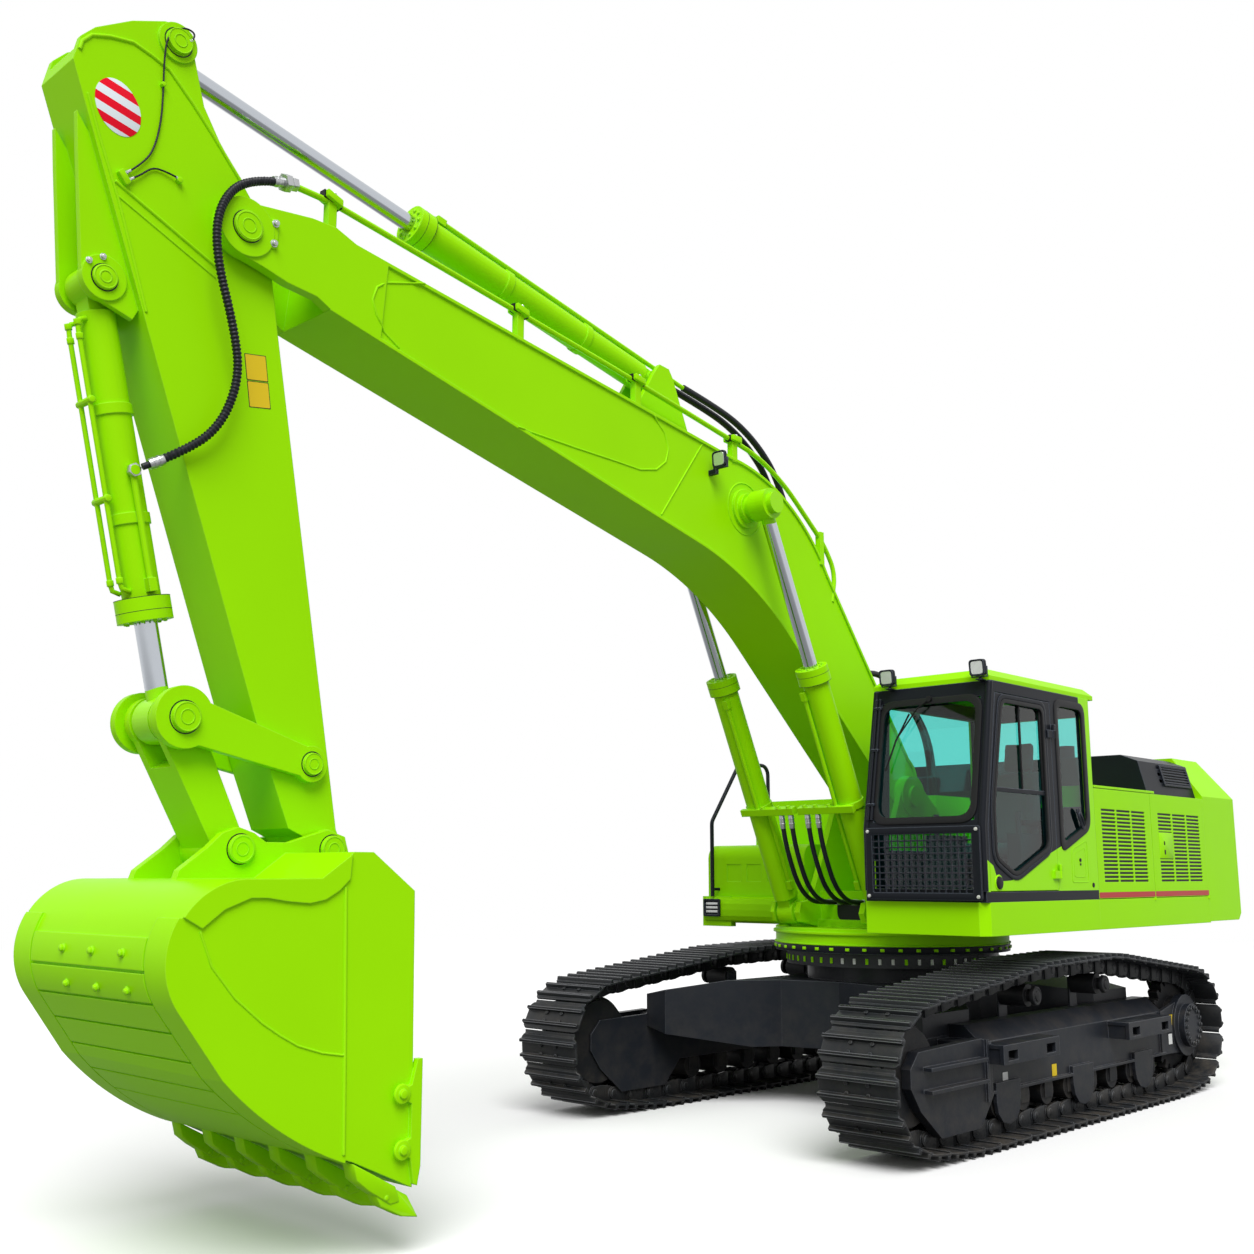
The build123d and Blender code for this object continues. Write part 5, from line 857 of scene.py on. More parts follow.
# Equal bars along Y or Z across an opening, cut from one round wire.
GRID, given, out = node_group("wire_row", "GeometryNodeTree", (
    ("Count", "Int"), ("First", "Vector"), ("Last", "Vector"), ("Reach", "Vector"), ("Wire", "Float"),
    ("Finish", "Material")), (("Wires", "Geometry"),))
row = new_node(GRID, "GeometryNodeMeshLine", {
    "Count": given["Count"], "Start Location": given["First"], "Offset": given["Last"]}, mode="END_POINTS")[0]
wire = new_node(GRID, "GeometryNodeCurvePrimitiveLine", {"End": given["Reach"]})[0]
section = new_node(GRID, "GeometryNodeCurvePrimitiveCircle", {"Resolution": 8, "Radius": given["Wire"]})[0]
bar = new_node(GRID, "GeometryNodeCurveToMesh", {"Curve": wire, "Profile Curve": section, "Fill Caps": True})[0]
onto = new_node(GRID, "GeometryNodeInstanceOnPoints", {"Points": row, "Instance": bar})[0]
feed(GRID, out, {"Wires": plain_mesh(GRID, onto, given["Finish"])})


def wires(name, count, first, last, reach):
    """A row of the guard's wires as one mesh."""
    made = run_tree(linked(name, bpy.data.meshes.new(name)), GRID, {
        "Count": count, "First": first, "Last": last, "Reach": reach, "Wire": WIRE_RADIUS, "Finish": satin_black})
    made.data.shade_smooth()
    return placed(made, "upper_structure")


pitch_y = (GRID_Y[1] - GRID_Y[0]) / (UPRIGHTS + 1)
pitch_z = (GRID_Z[1] - GRID_Z[0]) / (CROSSBARS + 1)
low_y, low_z = GRID_Y[0] - WIRE_END, GRID_Z[0] - WIRE_END
wires("guard_uprights", UPRIGHTS, (1.452, GRID_Y[0] + pitch_y, low_z), (1.452, GRID_Y[1] - pitch_y, low_z),
      (0, 0, GRID_Z[1] + WIRE_END - low_z))
wires("guard_crossbars", CROSSBARS, (1.446, low_y, GRID_Z[0] + pitch_z), (1.446, low_y, GRID_Z[1] - pitch_z),
      (0, GRID_Y[1] + WIRE_END - low_y, 0))
form = bmesh.new()
rim(form, eased(box_line(GRID_Y, GRID_Z), 0.006), eased(box_line(GUARD_Y, GUARD_Z), 0.02), *GUARD_X,
    lambda u, v, w: (w, u, v))
for y in (0.760, 1.620):
    for z in (1.670, 2.130):
        barrel(form, (1.400, y, z), (1.442, y, z), 0.012, sides=12)
guard = piece(form, "guard_frame", satin_black, "upper_structure", soften=0.003)
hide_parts("mesh_guard")
form = bmesh.new()
for y in (0.764, 1.650):
    for z in (1.668, 2.132):
        barrel(form, (1.455, y, z), (1.466, y, z), 0.015, sides=20, top=0.012)
piece(form, "guard_nuts", bright_bolt, "upper_structure", soften=0.001)

# ---- Lamps ------------------------------------------------------------------
# Square work lamps: a tapered black housing, a bezel round a ribbed clear lens
# over a bright reflector, and a stirrup bracket with one bolt.
lamp_glass, tree, shader = material("lamp_lens")
# The light and dark bands laid along the ribs are painted glints of the reflector behind the lens.
ribs = new_node(tree, "ShaderNodeTexWave", {"Vector": object_place(tree), "Scale": 34}, bands_direction="Y")["Fac"]
relief = new_node(tree, "ShaderNodeBump", {"Strength": 0.4, "Distance": 0.002, "Height": ribs})["Normal"]
feed(tree, shader, {"Base Color": mixed(tree, ribs, (0.42, 0.44, 0.44, 1), (0.78, 0.79, 0.76, 1)),
                    "Metallic": 0.55, "Roughness": 0.16, "Normal": relief})


def lamp_parts(body_form, lens_form, middle, half, depth, tilt):
    """One square lamp facing forwards: rounded tapering shell, bezel and lens."""
    turn = Matrix.Translation(middle) @ Matrix.Rotation(tilt, 4, "Y")

    def ring(size, x, form):
        outline = eased(box_line((-size, size), (-size, size)), size * 0.45, 4)
        return [form.verts.new(turn @ Vector((x, u, v))) for u, v in outline]

    rows = [ring(half * size, depth * x, body_form) for size, x in (
        (0.42, -0.5), (0.62, -0.46), (0.93, -0.05), (1, 0.0), (1, 0.5), (0.86, 0.5), (0.80, 0.42))]
    for near, far in zip(rows, rows[1:]):
        strip(body_form, near, far)
    body_form.faces.new(rows[0])
    body_form.faces.new(rows[-1])
    front, back = ring(half * 0.76, depth * 0.46, lens_form), ring(half * 0.81, depth * 0.40, lens_form)
    lens_form.faces.new(front)
    lens_form.faces.new(back)
    strip(lens_form, front, back)


form, lens_form = bmesh.new(), bmesh.new()
for y in (0.860, 1.620):
    lamp_parts(form, lens_form, (1.253, y, 3.288), 0.060, 0.080, math.radians(6))
    for side in (-1, 1):
        block(form, (1.240, 1.262), (y + side * 0.0605 - 0.0015, y + side * 0.0605 + 0.0015), (3.222, 3.296))
    block(form, (1.238, 1.264), (y - 0.062, y + 0.062), (3.219, 3.224))
    barrel(form, (1.241, y, 3.200), (1.241, y, 3.222), 0.012, sides=12)
    block(form, (1.200, 1.275), (y - 0.02, y + 0.02), (3.197, 3.206))
roof_lamps = piece(form, "roof_lamps", satin_black, "upper_structure", soften=0.0015)
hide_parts("work_lamps")
piece(lens_form, "roof_lamp_lenses", lamp_glass, "upper_structure")
form, lens_form = bmesh.new(), bmesh.new()
lamp_parts(form, lens_form, (2.618, 0.362, 4.807), 0.060, 0.053, math.radians(4))
for y in (0.3005, 0.4235):
    block(form, (2.606, 2.630), (y - 0.0015, y + 0.0015), (4.742, 4.815))
block(form, (2.604, 2.632), (0.299, 0.425), (4.739, 4.744))
block(form, (2.602, 2.633), (0.257, 0.330), (4.702, 4.740))
boom_lamp = piece(form, "boom_lamp_shell", satin_black, "boom", soften=0.0015)
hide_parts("boom_lamp")
piece(lens_form, "boom_lamp_lens", lamp_glass, "boom")

# ---- House details ----------------------------------------------------------
# A red pinstripe along the foot of the side doors, and on the rear door a
# raised blank patch that carries the latch and its lock.
stripe_red = coating("stripe_red", (0.42, 0.008, 0.006), 0.35, coat=0.1, radius=0.0, scale=90, bump=0.05, tone=0.06)
HOUSE_SIDE = 1.680
for name, body, x_low, x_high in (("stripe_front", "vent_door_front", -1.428, -0.368),
                                  ("stripe_rear", "vent_door_rear", -2.598, -1.442)):
    form = bmesh.new()
    block(form, (x_low, x_high), (HOUSE_SIDE - 0.001, HOUSE_SIDE + 0.0012), (1.640, 1.684))
    piece(form, name, stripe_red, body)
form = bmesh.new()
patch = eased(box_line((-1.862, -1.578), (1.955, 2.175)), 0.012)
prism(form, patch, HOUSE_SIDE - 0.001, HOUSE_SIDE + 0.002)
piece(form, "rear_door_patch", green, "vent_door_rear", soften=0.0008)
form = bmesh.new()
for x, z, size in ((-1.680, 2.085, 0.016), (-1.684, 2.010, 0.020)):
    latch = eased(box_line((x - size * 0.5, x + size * 0.5), (z - size, z + size)), 0.008)
    prism(form, latch, HOUSE_SIDE + 0.001, HOUSE_SIDE + 0.006)
piece(form, "rear_door_latch", dark_rubber_and_shade, "vent_door_rear", soften=0.001)

# ---- Attachment pins and caps -----------------------------------------------
# Each hardened pin ends in a green cap with a turned ring, seated on its boss
# with a dark joint round it, and is kept by a flag plate with bright bolts.


def struck(node, start, way):
    """The place where a ray first meets a node and the way its face looks there."""
    hit, spot, normal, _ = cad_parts[node].ray_cast(Vector(start), Vector(way))
    return (spot, normal) if hit else None


def skin(node, x, z, side=1):
    """Y of a node's outer face on one side, straight in from the side."""
    found = struck(node, (x, side * 4, z), (0, -side, 0))
    return found[0].y if found else None


def standing(found):
    """Place and turn of a bolt that stands on a struck face."""
    return tuple(found[0]), tuple(found[1].to_track_quat("Z", "Y").to_euler())


def disc_ring(form, centre, y, inner, outer, depth, side, count=40):
    """A flat annulus standing off a side face."""
    rings = [circle(r, count, *centre) for r in (inner, outer)]
    rim(form, *rings, -0.001, depth, lambda u, v, w: (u, y + side * w, v))


PINS = (  # node, body, x, z, cap radius
    ("boom", "boom", 6.500, 5.250, 0.085),
    ("boom", "boom", 2.210, 4.530, 0.080),
    ("arm", "arm", 6.915, 6.180, 0.075),
    ("arm", "arm", 7.205, 4.765, 0.066),
    ("rocker_links", "rocker_links", 5.925, 2.400, 0.062),
    ("rocker_links", "rocker_links", 6.675, 2.591, 0.080),
    ("bucket", "bucket", 6.335, 1.948, 0.073),
    ("bucket", "bucket", 5.785, 1.953, 0.073),
)
CAP_PROUD, FLUSH = 0.016, 0.004
caps, joints_dark = {}, {}
for node, body, x, z, radius in PINS:
    cap_form = caps.setdefault(body, bmesh.new())
    gap_form = joints_dark.setdefault(body, bmesh.new())
    for side in (1, -1):
        y = skin(node, x, z, side)
        base = skin(node, x + radius * 0.2, z + radius + 0.012, side)
        base = y if base is None else base
        if abs(y) - abs(base) < FLUSH:
            top = y + side * CAP_PROUD
            barrel(cap_form, (x, y - side * 0.001, z), (x, top, z), radius, sides=40, top=radius * 0.97)
            y = top
        disc_ring(gap_form, (x, z), base, radius + 0.0005, radius + 0.006, 0.0016, side)
        disc_ring(cap_form, (x, z), y, radius * 0.42, radius * 0.50, 0.0028, side)
        disc_ring(cap_form, (x, z), y, radius * 0.84, radius * 0.93, 0.0020, side)
for body, cap_form in caps.items():
    piece(cap_form, f"pin_caps_{body}", green, body, soften=0.0012)
    piece(joints_dark[body], f"pin_joints_{body}", dark_rubber_and_shade, body)

zinc = coating("zinc_plated", (0.50, 0.51, 0.52), 0.30, metallic=0.9, radius=0.0015, scale=120, bump=0.15, tone=0.25)
screw = hexagon_bolt("screw", 0.024, 0.016, zinc)
SIDEWAYS = {1: (-math.pi / 2, 0, 0), -1: (math.pi / 2, 0, 0)}


def side_bolts(name, node, spots, size=1.0, proud=0.0):
    """Hex bolts on both side faces of a node that is named like its body."""
    repeated(name, screw, [((x, skin(node, x, z, side) + side * proud, z), SIDEWAYS[side])
                           for x, z in spots for side in (1, -1)], zinc, node, size=size)


form = bmesh.new()
for side in (1, -1):
    face = skin("boom", 6.334, 5.268, side)
    plate_line = eased([(6.312, 5.180), (6.358, 5.180), (6.354, 5.356), (6.308, 5.356)], 0.02)
    prism(form, plate_line, face - side * 0.001, face + side * 0.010)
piece(form, "boom_head_flags", green, "boom", soften=0.002)
side_bolts("boom_head_bolts", "boom", ((6.332, 5.327), (6.337, 5.209)), size=1.25, proud=0.010)
side_bolts("arm_pin_bolts", "arm", ((7.222, 4.870), (7.292, 4.828)))

# ---- Weld seams -------------------------------------------------------------
# Painted fillet welds where stiffeners and wrapper plates meet the side plates
# of the boom, the stick and the bucket: low rounded beads under the enamel.
BEAD_STEP = 0.05


def bead(form, node, points, radius, side):
    """A low bead that follows a node's side face through (x, z) points."""
    line = []
    for (xa, za), (xb, zb) in zip(points, points[1:]):
        pieces = max(1, round(math.hypot(xb - xa, zb - za) / BEAD_STEP))
        line += [(xa + (xb - xa) * k / pieces, za + (zb - za) * k / pieces) for k in range(pieces)]
    line.append(points[-1])
    faces = [(x, skin(node, x, z, side), z) for x, z in line]
    swept(form, [Vector(face) for face in faces if face[1] is not None], lambda s: radius, 8)


BOOM_SEAMS = (
    (
        (5.160, 5.356), (5.379, 5.301), (5.566, 5.243), (5.638, 5.188), (5.667, 5.103),
        (5.636, 5.017), (5.568, 4.935), (5.459, 4.872),
    ),
    (
        (4.621, 4.613), (4.373, 4.609), (3.997, 4.598), (3.628, 4.593), (3.371, 4.586),
        (3.204, 4.622), (3.102, 4.702), (3.073, 4.803), (3.114, 4.913), (3.269, 5.040),
    ),
    ((2.702, 4.922), (3.153, 4.304)),
)
form = bmesh.new()
for side in (1, -1):
    for seam in BOOM_SEAMS:
        bead(form, "boom", seam, 0.007, side)
    ring = circle(0.20, 32, 2.21, 4.53)
    bead(form, "boom", ring + ring[:1], 0.006, side)
piece(form, "boom_welds", green, "boom", smooth=60)

ARM_FLANGE = ((6.451, 5.496), (6.527, 5.579), (6.676, 5.744), (6.808, 5.880), (6.950, 6.010), (7.049, 6.045),
              (7.158, 6.071), (7.281, 6.045), (7.375, 6.008), (7.420, 5.954), (7.430, 5.904))
ARM_FRONT = ((7.430, 5.904), (7.407, 5.688), (7.332, 5.480), (7.211, 5.184), (7.096, 4.852), (7.025, 4.639))
form = bmesh.new()
for side in (1, -1):
    bead(form, "arm", ARM_FLANGE, 0.011, side)
    bead(form, "arm", [(x - 0.035, z) for x, z in ARM_FRONT[1:]], 0.008, side)
    bead(form, "arm", [(7.200, 5.278), (6.621, 5.013)], 0.010, side)
    bead(form, "arm", [(7.180, 5.204), (6.617, 4.949)], 0.006, side)
piece(form, "stick_welds", green, "arm", smooth=60)

BUCKET_ARC = ((6.848, 1.569), (6.784, 1.413), (6.665, 1.270), (6.523, 1.151), (6.430, 1.090), (6.337, 1.037),
              (6.210, 0.995), (6.093, 0.974))
form = bmesh.new()
for side in (1, -1):
    bead(form, "bucket", BUCKET_ARC, 0.006, side)
    bead(form, "bucket", [(6.112, 1.760), (6.085, 0.969), (6.072, 0.520)], 0.009, side)
piece(form, "bucket_welds", green, "bucket", smooth=60)

# ---- Bucket bolts and teeth -------------------------------------------------
# Hex plugs on the heel's wear plates, side cutters on bolted bosses, and six
# cast teeth: an adapter under the lip, a wedge tip driven on, and its pin.
HEEL_BOLTS = ((-0.218, 1.469), (0.082, 1.467), (0.384, 1.467), (-0.203, 1.304), (0.106, 1.301), (0.406, 1.301))
heel = [standing(found) for found in (struck("bucket", (9, y, z), (-1, 0, 0)) for y, z in HEEL_BOLTS) if found]
repeated("heel_bolts", screw, heel, green, "bucket", size=1.25)
form = bmesh.new()
for side in (1, -1):
    for x, z in ((5.775, 0.768), (5.766, 0.506)):
        y = skin("bucket", x, z, side)
        if y is None:
            continue
        barrel(form, (x, y - side * 0.002, z), (x, y + side * 0.010, z), 0.050, sides=32, top=0.046)
        barrel(form, (x, y + side * 0.009, z), (x, y + side * 0.024, z), 0.024, sides=24, top=0.021)
piece(form, "side_cutter_bolts", green, "bucket", soften=0.0015)

TOOTH_ROWS = 6
TOOTH_SPAN = 1.620
ADAPTER_HALF, TIP_HALF, PIN_HALF = 0.048, 0.040, 0.052
ADAPTER = [(5.745, 0.262), (5.800, 0.258), (5.930, 0.340), (6.000, 0.396), (6.022, 0.474), (5.770, 0.335)]
TIP = [(5.632, 0.174), (5.720, 0.188), (5.850, 0.254), (5.880, 0.312), (5.765, 0.322), (5.690, 0.282), (5.664, 0.222)]
form = bmesh.new()
for i in range(TOOTH_ROWS):
    y = -TOOTH_SPAN / 2 + i * TOOTH_SPAN / (TOOTH_ROWS - 1)
    fresh = len(form.verts)
    prism(form, ADAPTER, y - ADAPTER_HALF, y + ADAPTER_HALF)
    prism(form, TIP, y - TIP_HALF, y + TIP_HALF)
    form.verts.ensure_lookup_table()
    for vert in form.verts[fresh:]:
        if vert.co.x < 5.68:
            vert.co.y = y + (vert.co.y - y) * 1.30
        elif vert.co.x < 5.74:
            vert.co.y = y + (vert.co.y - y) * 0.86
    barrel(form, (5.822, y - PIN_HALF, 0.290), (5.822, y + PIN_HALF, 0.290), 0.013, sides=12)
teeth = piece(form, "cast_teeth", green, "bucket", soften=0.005)
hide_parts("bucket_teeth")

# ---- Stick fittings ---------------------------------------------------------
# An oval red and white marker disc, two blank yellow plates, and thin grease
# hoses from a junction block to the pins, with crimped steel ends.
MARKER_MIDDLE, STRIPE_WAY, STRIPE_WIDTH = (7.212, 5.679), (0.20, -0.98), 0.047
marker, tree, shader = material("marker_stripes")
where = object_place(tree)
along = vectors(tree, "DOT_PRODUCT", where, (STRIPE_WAY[0], 0, STRIPE_WAY[1]))["Value"]
offset = 20 * STRIPE_WIDTH * 2 + STRIPE_WIDTH / 2 - Vector(MARKER_MIDDLE).dot(Vector(STRIPE_WAY))
wrapped = maths(tree, "MODULO", maths(tree, "ADD", along, offset), 2 * STRIPE_WIDTH)
is_red = maths(tree, "LESS_THAN", wrapped, STRIPE_WIDTH)
cells = new_node(tree, "ShaderNodeTexVoronoi", {"Vector": where, "Scale": 260})["Distance"]
relief = new_node(tree, "ShaderNodeBump", {"Strength": 0.15, "Distance": 0.001, "Height": cells})["Normal"]
feed(tree, shader, {"Base Color": mixed(tree, is_red, (0.74, 0.80, 0.84, 1), (0.78, 0.004, 0.022, 1)),
                    "Roughness": 0.28, "Specular IOR Level": 0.1, "Normal": relief})
form = bmesh.new()
long_way, short_way = Vector((0.38, 0.925)), Vector((0.925, -0.38))
oval = []
for k in range(48):
    a = 2 * math.pi * k / 48
    spot = Vector(MARKER_MIDDLE) + long_way * 0.152 * math.cos(a) + short_way * 0.120 * math.sin(a)
    oval.append((spot.x, spot.y))
for side in (1, -1):
    y = skin("arm", *MARKER_MIDDLE, side)
    prism(form, oval, y - side * 0.0005, y + side * 0.0025)
piece(form, "marker_discs", marker, "arm", soften=0.0008)

plate_yellow = coating("plate_yellow", (0.72, 0.52, 0.010), 0.4, radius=0.0, scale=200, bump=0.05, tone=0.05)
plate_white = coating("plate_white", (0.70, 0.71, 0.70), 0.4, radius=0.0, scale=200, bump=0.05, tone=0.05)


def blank_plate(name, body, middle, size, finish, y, lean=0.0):
    """A blank identification plate with a dark border, stuck to a left side face."""
    for label, grow, depth, paint in (("edge", 0.004, 0.0010, dark_rubber_and_shade), ("face", 0.0, 0.0016, finish)):
        w, t = (length / 2 + grow for length in size)
        turned = [Vector(middle) + Matrix.Rotation(lean, 2) @ Vector(corner) for corner in box_line((-w, w), (-t, t))]
        form = bmesh.new()
        prism(form, eased(turned, 0.004, 3), y - 0.0005, y + depth)
        piece(form, f"{name}_{label}", paint, body)


for number, middle in enumerate(((6.346, 4.520), (6.322, 4.372)), start=1):
    blank_plate(f"stick_plate_{number}", "arm", middle, (0.125, 0.138), plate_yellow, skin("arm", *middle), -0.157)

GREASE_LONG = ((6.850, 0.215, 6.215), (6.822, 0.215, 6.262), (6.905, 0.215, 6.270), (6.988, 0.212, 6.181),
               (6.991, 0.198, 6.047), (6.982, 0.190, 5.907), (6.980, 0.190, 5.722), (7.002, 0.190, 5.560),
               (7.047, 0.192, 5.445), (7.130, 0.194, 5.358))
GREASE_SHORT = ((7.112, 0.196, 5.323), (7.068, 0.194, 5.362), (7.014, 0.190, 5.421), (6.951, 0.192, 5.430),
                (6.885, 0.198, 5.418))
GREASE_RADIUS, FITTING_RADIUS = 0.005, 0.008
for name, route, length in (("grease_hose_long", GREASE_LONG, 1.084), ("grease_hose_short", GREASE_SHORT, 0.266)):
    line = hose_line(route)
    form = bmesh.new()
    swept(form, line, lambda s: GREASE_RADIUS, 10)
    made = piece(form, name, rubber, "arm", smooth=60)
form = bmesh.new()
for start, end in ((GREASE_LONG[-1], (7.160, 0.194, 5.330)), (GREASE_SHORT[0], (7.140, 0.194, 5.300)),
                   (GREASE_SHORT[-1], (6.862, 0.194, 5.408)), (GREASE_LONG[0], (6.862, 0.212, 6.200))):
    barrel(form, start, end, FITTING_RADIUS, sides=12)
    middle = (Vector(start) + Vector(end)) / 2
    barrel(form, middle, middle + (Vector(end) - Vector(start)) * 0.3, FITTING_RADIUS * 1.35, sides=6)
piece(form, "grease_fittings", zinc, "arm")
form = bmesh.new()
prism(form, eased([(7.200, 5.325), (7.175, 5.350), (7.125, 5.290), (7.150, 5.265)], 0.008), 0.178, 0.208)
barrel(form, (6.985, 0.178, 5.904), (6.985, 0.204, 5.904), 0.013, sides=12)
barrel(form, (6.862, 0.178, 5.408), (6.862, 0.206, 5.408), 0.016, sides=16)
piece(form, "grease_block", green, "arm", soften=0.0015)

# ---- Hose couplings ---------------------------------------------------------
# Crimped steel ferrules at each hose end, and a large hex union where the stick
# hose meets the boom's hard pipe.


def coupling(form, start, toward, radius, length, nut=0.0):
    """A ferrule with two crimp ridges from a hose end along its way, and a hex nut behind it."""
    start = Vector(start)
    way = (Vector(toward) - start).normalized()
    barrel(form, start - way * 0.004, start + way * length, radius, sides=24, top=radius * 0.97)
    for share in (0.25, 0.6):
        barrel(form, start + way * length * share, start + way * (length * share + 0.012), radius * 1.07, sides=24)
    if nut:
        barrel(form, start - way * 0.034, start + way * 0.006, nut, sides=6)


form = bmesh.new()
coupling(form, ARM_HOSE[0], ARM_HOSE[1], 0.0285, 0.075, nut=0.052)
barrel(form, (6.196, 0.247, 5.621), (6.232, 0.249, 5.613), 0.040, sides=6)
for y in TOP_HOSE_YS:
    coupling(form, *at_y(TOP_HOSE, y)[:-3:-1], 0.030, 0.08)
piece(form, "boom_couplings", zinc, "boom", soften=0.001)
form = bmesh.new()
near_end = Vector(ARM_HOSE[-1]).lerp(Vector(ARM_HOSE[-2]), 0.20)
coupling(form, near_end, ARM_HOSE[-2], 0.0275, 0.075)
piece(form, "stick_hose_ferrule", zinc, "arm", soften=0.001)
form = bmesh.new()
barrel(form, (6.974, 0.118, 3.818), (6.974, 0.146, 3.818), 0.036, sides=6)
piece(form, "stick_cylinder_nut", zinc, "curl_barrel", soften=0.001)
for body, rows in LIFT_HOSE_ROWS.items():
    form = bmesh.new()
    for y in rows:
        coupling(form, *at_y(LIFT_HOSE, y)[:2], 0.0225, 0.11)
    piece(form, f"{body}_couplings", zinc, body, soften=0.001)
form = bmesh.new()
for _, y in lift_rows:
    coupling(form, *at_y(LIFT_HOSE, y)[:-3:-1], 0.0225, 0.09)
piece(form, "bulkhead_couplings", zinc, "upper_structure", soften=0.001)
clamp_bolts = []
form, form_pad = bmesh.new(), bmesh.new()
for x, fall in ((5.960, 0.36), (4.510, 0.26), (3.400, 0.20), (2.330, 0.05)):
    z = struck("boom", (x, 0.245, 8), (0, 0, -1))[0].z
    saddle = [(x + off, z + up + fall * off) for off, up in box_line((-0.052, 0.052), (-0.034, 0.010))]
    prism(form, eased(saddle, 0.010), 0.196, 0.296)
    prism(form_pad, [(u + (u - x) * 0.16, v) for u, v in saddle], 0.222, 0.272)
    clamp_bolts += [((x, 0.246 + side * 0.034, z + 0.010), (0, 0, 0)) for side in (-1, 1)]
piece(form, "pipe_clamps", green, "boom", soften=0.003)
piece(form_pad, "pipe_clamp_pads", dark_rubber_and_shade, "boom")
repeated("pipe_clamp_bolts", screw, clamp_bolts, zinc, "boom", size=0.8)

# ---- Undercarriage details --------------------------------------------------
# Final drive cover bolts all round each hub, and a ring of small white and green
# squares round the turntable, green on the far side and on every third.
HUB, HUB_BOLT_CIRCLE, HUB_FACE = (-2.175, 0.540), 0.150, TRACK_Y + 0.220


def cube_round(form, angle, place, size):
    """Add a small block turned round the slewing axis."""
    bmesh.ops.create_cube(form, size=1.0, matrix=Matrix.Rotation(angle, 4, "Z") @ Matrix.Translation(place) @
                          Matrix.Diagonal(size))


drive = [((x, side * HUB_FACE, z), SIDEWAYS[side]) for side in (1, -1) for x, z in circle(HUB_BOLT_CIRCLE, 16, *HUB)]
repeated("final_drive_bolts", screw, drive, track_black, "undercarriage", size=1.2)
TURNTABLE_SQUARES, SQUARE_PLACE, SQUARE_SIZE = 54, (0.8705, 0, 1.150), (0.012, 0.024, 0.044, 1)
form_white, form_green = bmesh.new(), bmesh.new()
for k in range(TURNTABLE_SQUARES):
    a = 2 * math.pi * k / TURNTABLE_SQUARES
    target = form_green if k % 3 == 0 or math.cos(a + 1.2) > 0.45 else form_white
    cube_round(target, a, SQUARE_PLACE, SQUARE_SIZE)
piece(form_white, "turntable_marks_white", plate_white, "undercarriage", soften=0.003)
piece(form_green, "turntable_marks_green", green, "undercarriage", soften=0.003)
dropped(screw)

# ---- Louvres and hood grille ------------------------------------------------
# Pressed louvres with dark slats of painted shade set in their openings, and a
# framed grille of fixed slats, backed by a dark sheet of painted shade, lets the
# engine hood breathe on both flanks.
DOOR_FACE_Y = 1.680
VENT_PITCH = 0.031
VENT_ROWS = 19
VENT_MIDDLE_Z = 2.050
SLAT_HALF_Y, SLAT_HALF_Z, SLAT_DEEP = 0.0045, 0.0083, 0.0095
vent_zs = [VENT_MIDDLE_Z + (row - (VENT_ROWS - 1) / 2) * VENT_PITCH for row in range(VENT_ROWS)]
for body, columns in (("vent_door_front", ((-1.310, -1.050), (-1.025, -0.765), (-0.740, -0.480))),
                      ("vent_door_rear", ((-2.480, -2.200), (-2.170, -1.890), (-1.860, -1.580)))):
    half = (columns[0][1] - columns[0][0] - 0.001) / 2
    form = bmesh.new()
    block(form, (-half, half), (-SLAT_HALF_Y, SLAT_HALF_Y), (-SLAT_HALF_Z, SLAT_HALF_Z))
    slat = shaped(form, "vent_slat", dark_rubber_and_shade)
    places = [(((x0 + x1) / 2, DOOR_FACE_Y - SLAT_DEEP, z), (0, 0, 0)) for x0, x1 in columns for z in vent_zs]
    repeated(f"{body}_louvres", slat, places, dark_rubber_and_shade, body)
    dropped(slat)


def on_flank(side):
    """Maps (x, z, standing off) on to the hood's sloping flank."""
    return lambda u, v, w: (u, side * (1.620 - 0.070 * (v - 2.500) / 0.290 + w), v)


GRILLE = (-2.555, 2.590, -1.955, 2.775)
SLIT = 0.02  # share of a panel's height left open, so that a rim closes it
form, form_back = bmesh.new(), bmesh.new()
for side in (1, -1):
    x0, z0, x1, z1 = GRILLE
    opening = (x0 + 0.022, x1 - 0.022)
    inner = box_line(opening, (z0 + 0.018, z1 - 0.018))
    rim(form, inner, box_line((x0, x1), (z0, z1)), -0.002, 0.016, on_flank(side))
    half_up = (z0 + z1) / 2
    rim(form_back, [(x, half_up + (z - half_up) * SLIT) for x, z in inner], inner, -0.004, 0.002, on_flank(side))
    for k in range(6):
        z = z0 + 0.026 + k * 0.0245
        slat = box_line(opening, (z, z + 0.011))
        middle = [(x, z + 0.0055 + (v - z - 0.0055) * SLIT) for x, v in slat]
        rim(form, middle, slat, 0.001, 0.012, on_flank(side))
piece(form, "hood_grilles", satin_black, "upper_structure", soften=0.001)
piece(form_back, "hood_grille_shade", dark_rubber_and_shade, "upper_structure")

# ---- Slewing drum -----------------------------------------------------------
# The house drum ends in a projecting green flange; a black ring below it holds
# a circle of painted bolts.


def hoop(form, inner, outer, low, high, count=96):
    """A flat ring round the slewing axis."""
    rim(form, circle(inner, count), circle(outer, count), low, high, lambda u, v, w: (u, v, w))


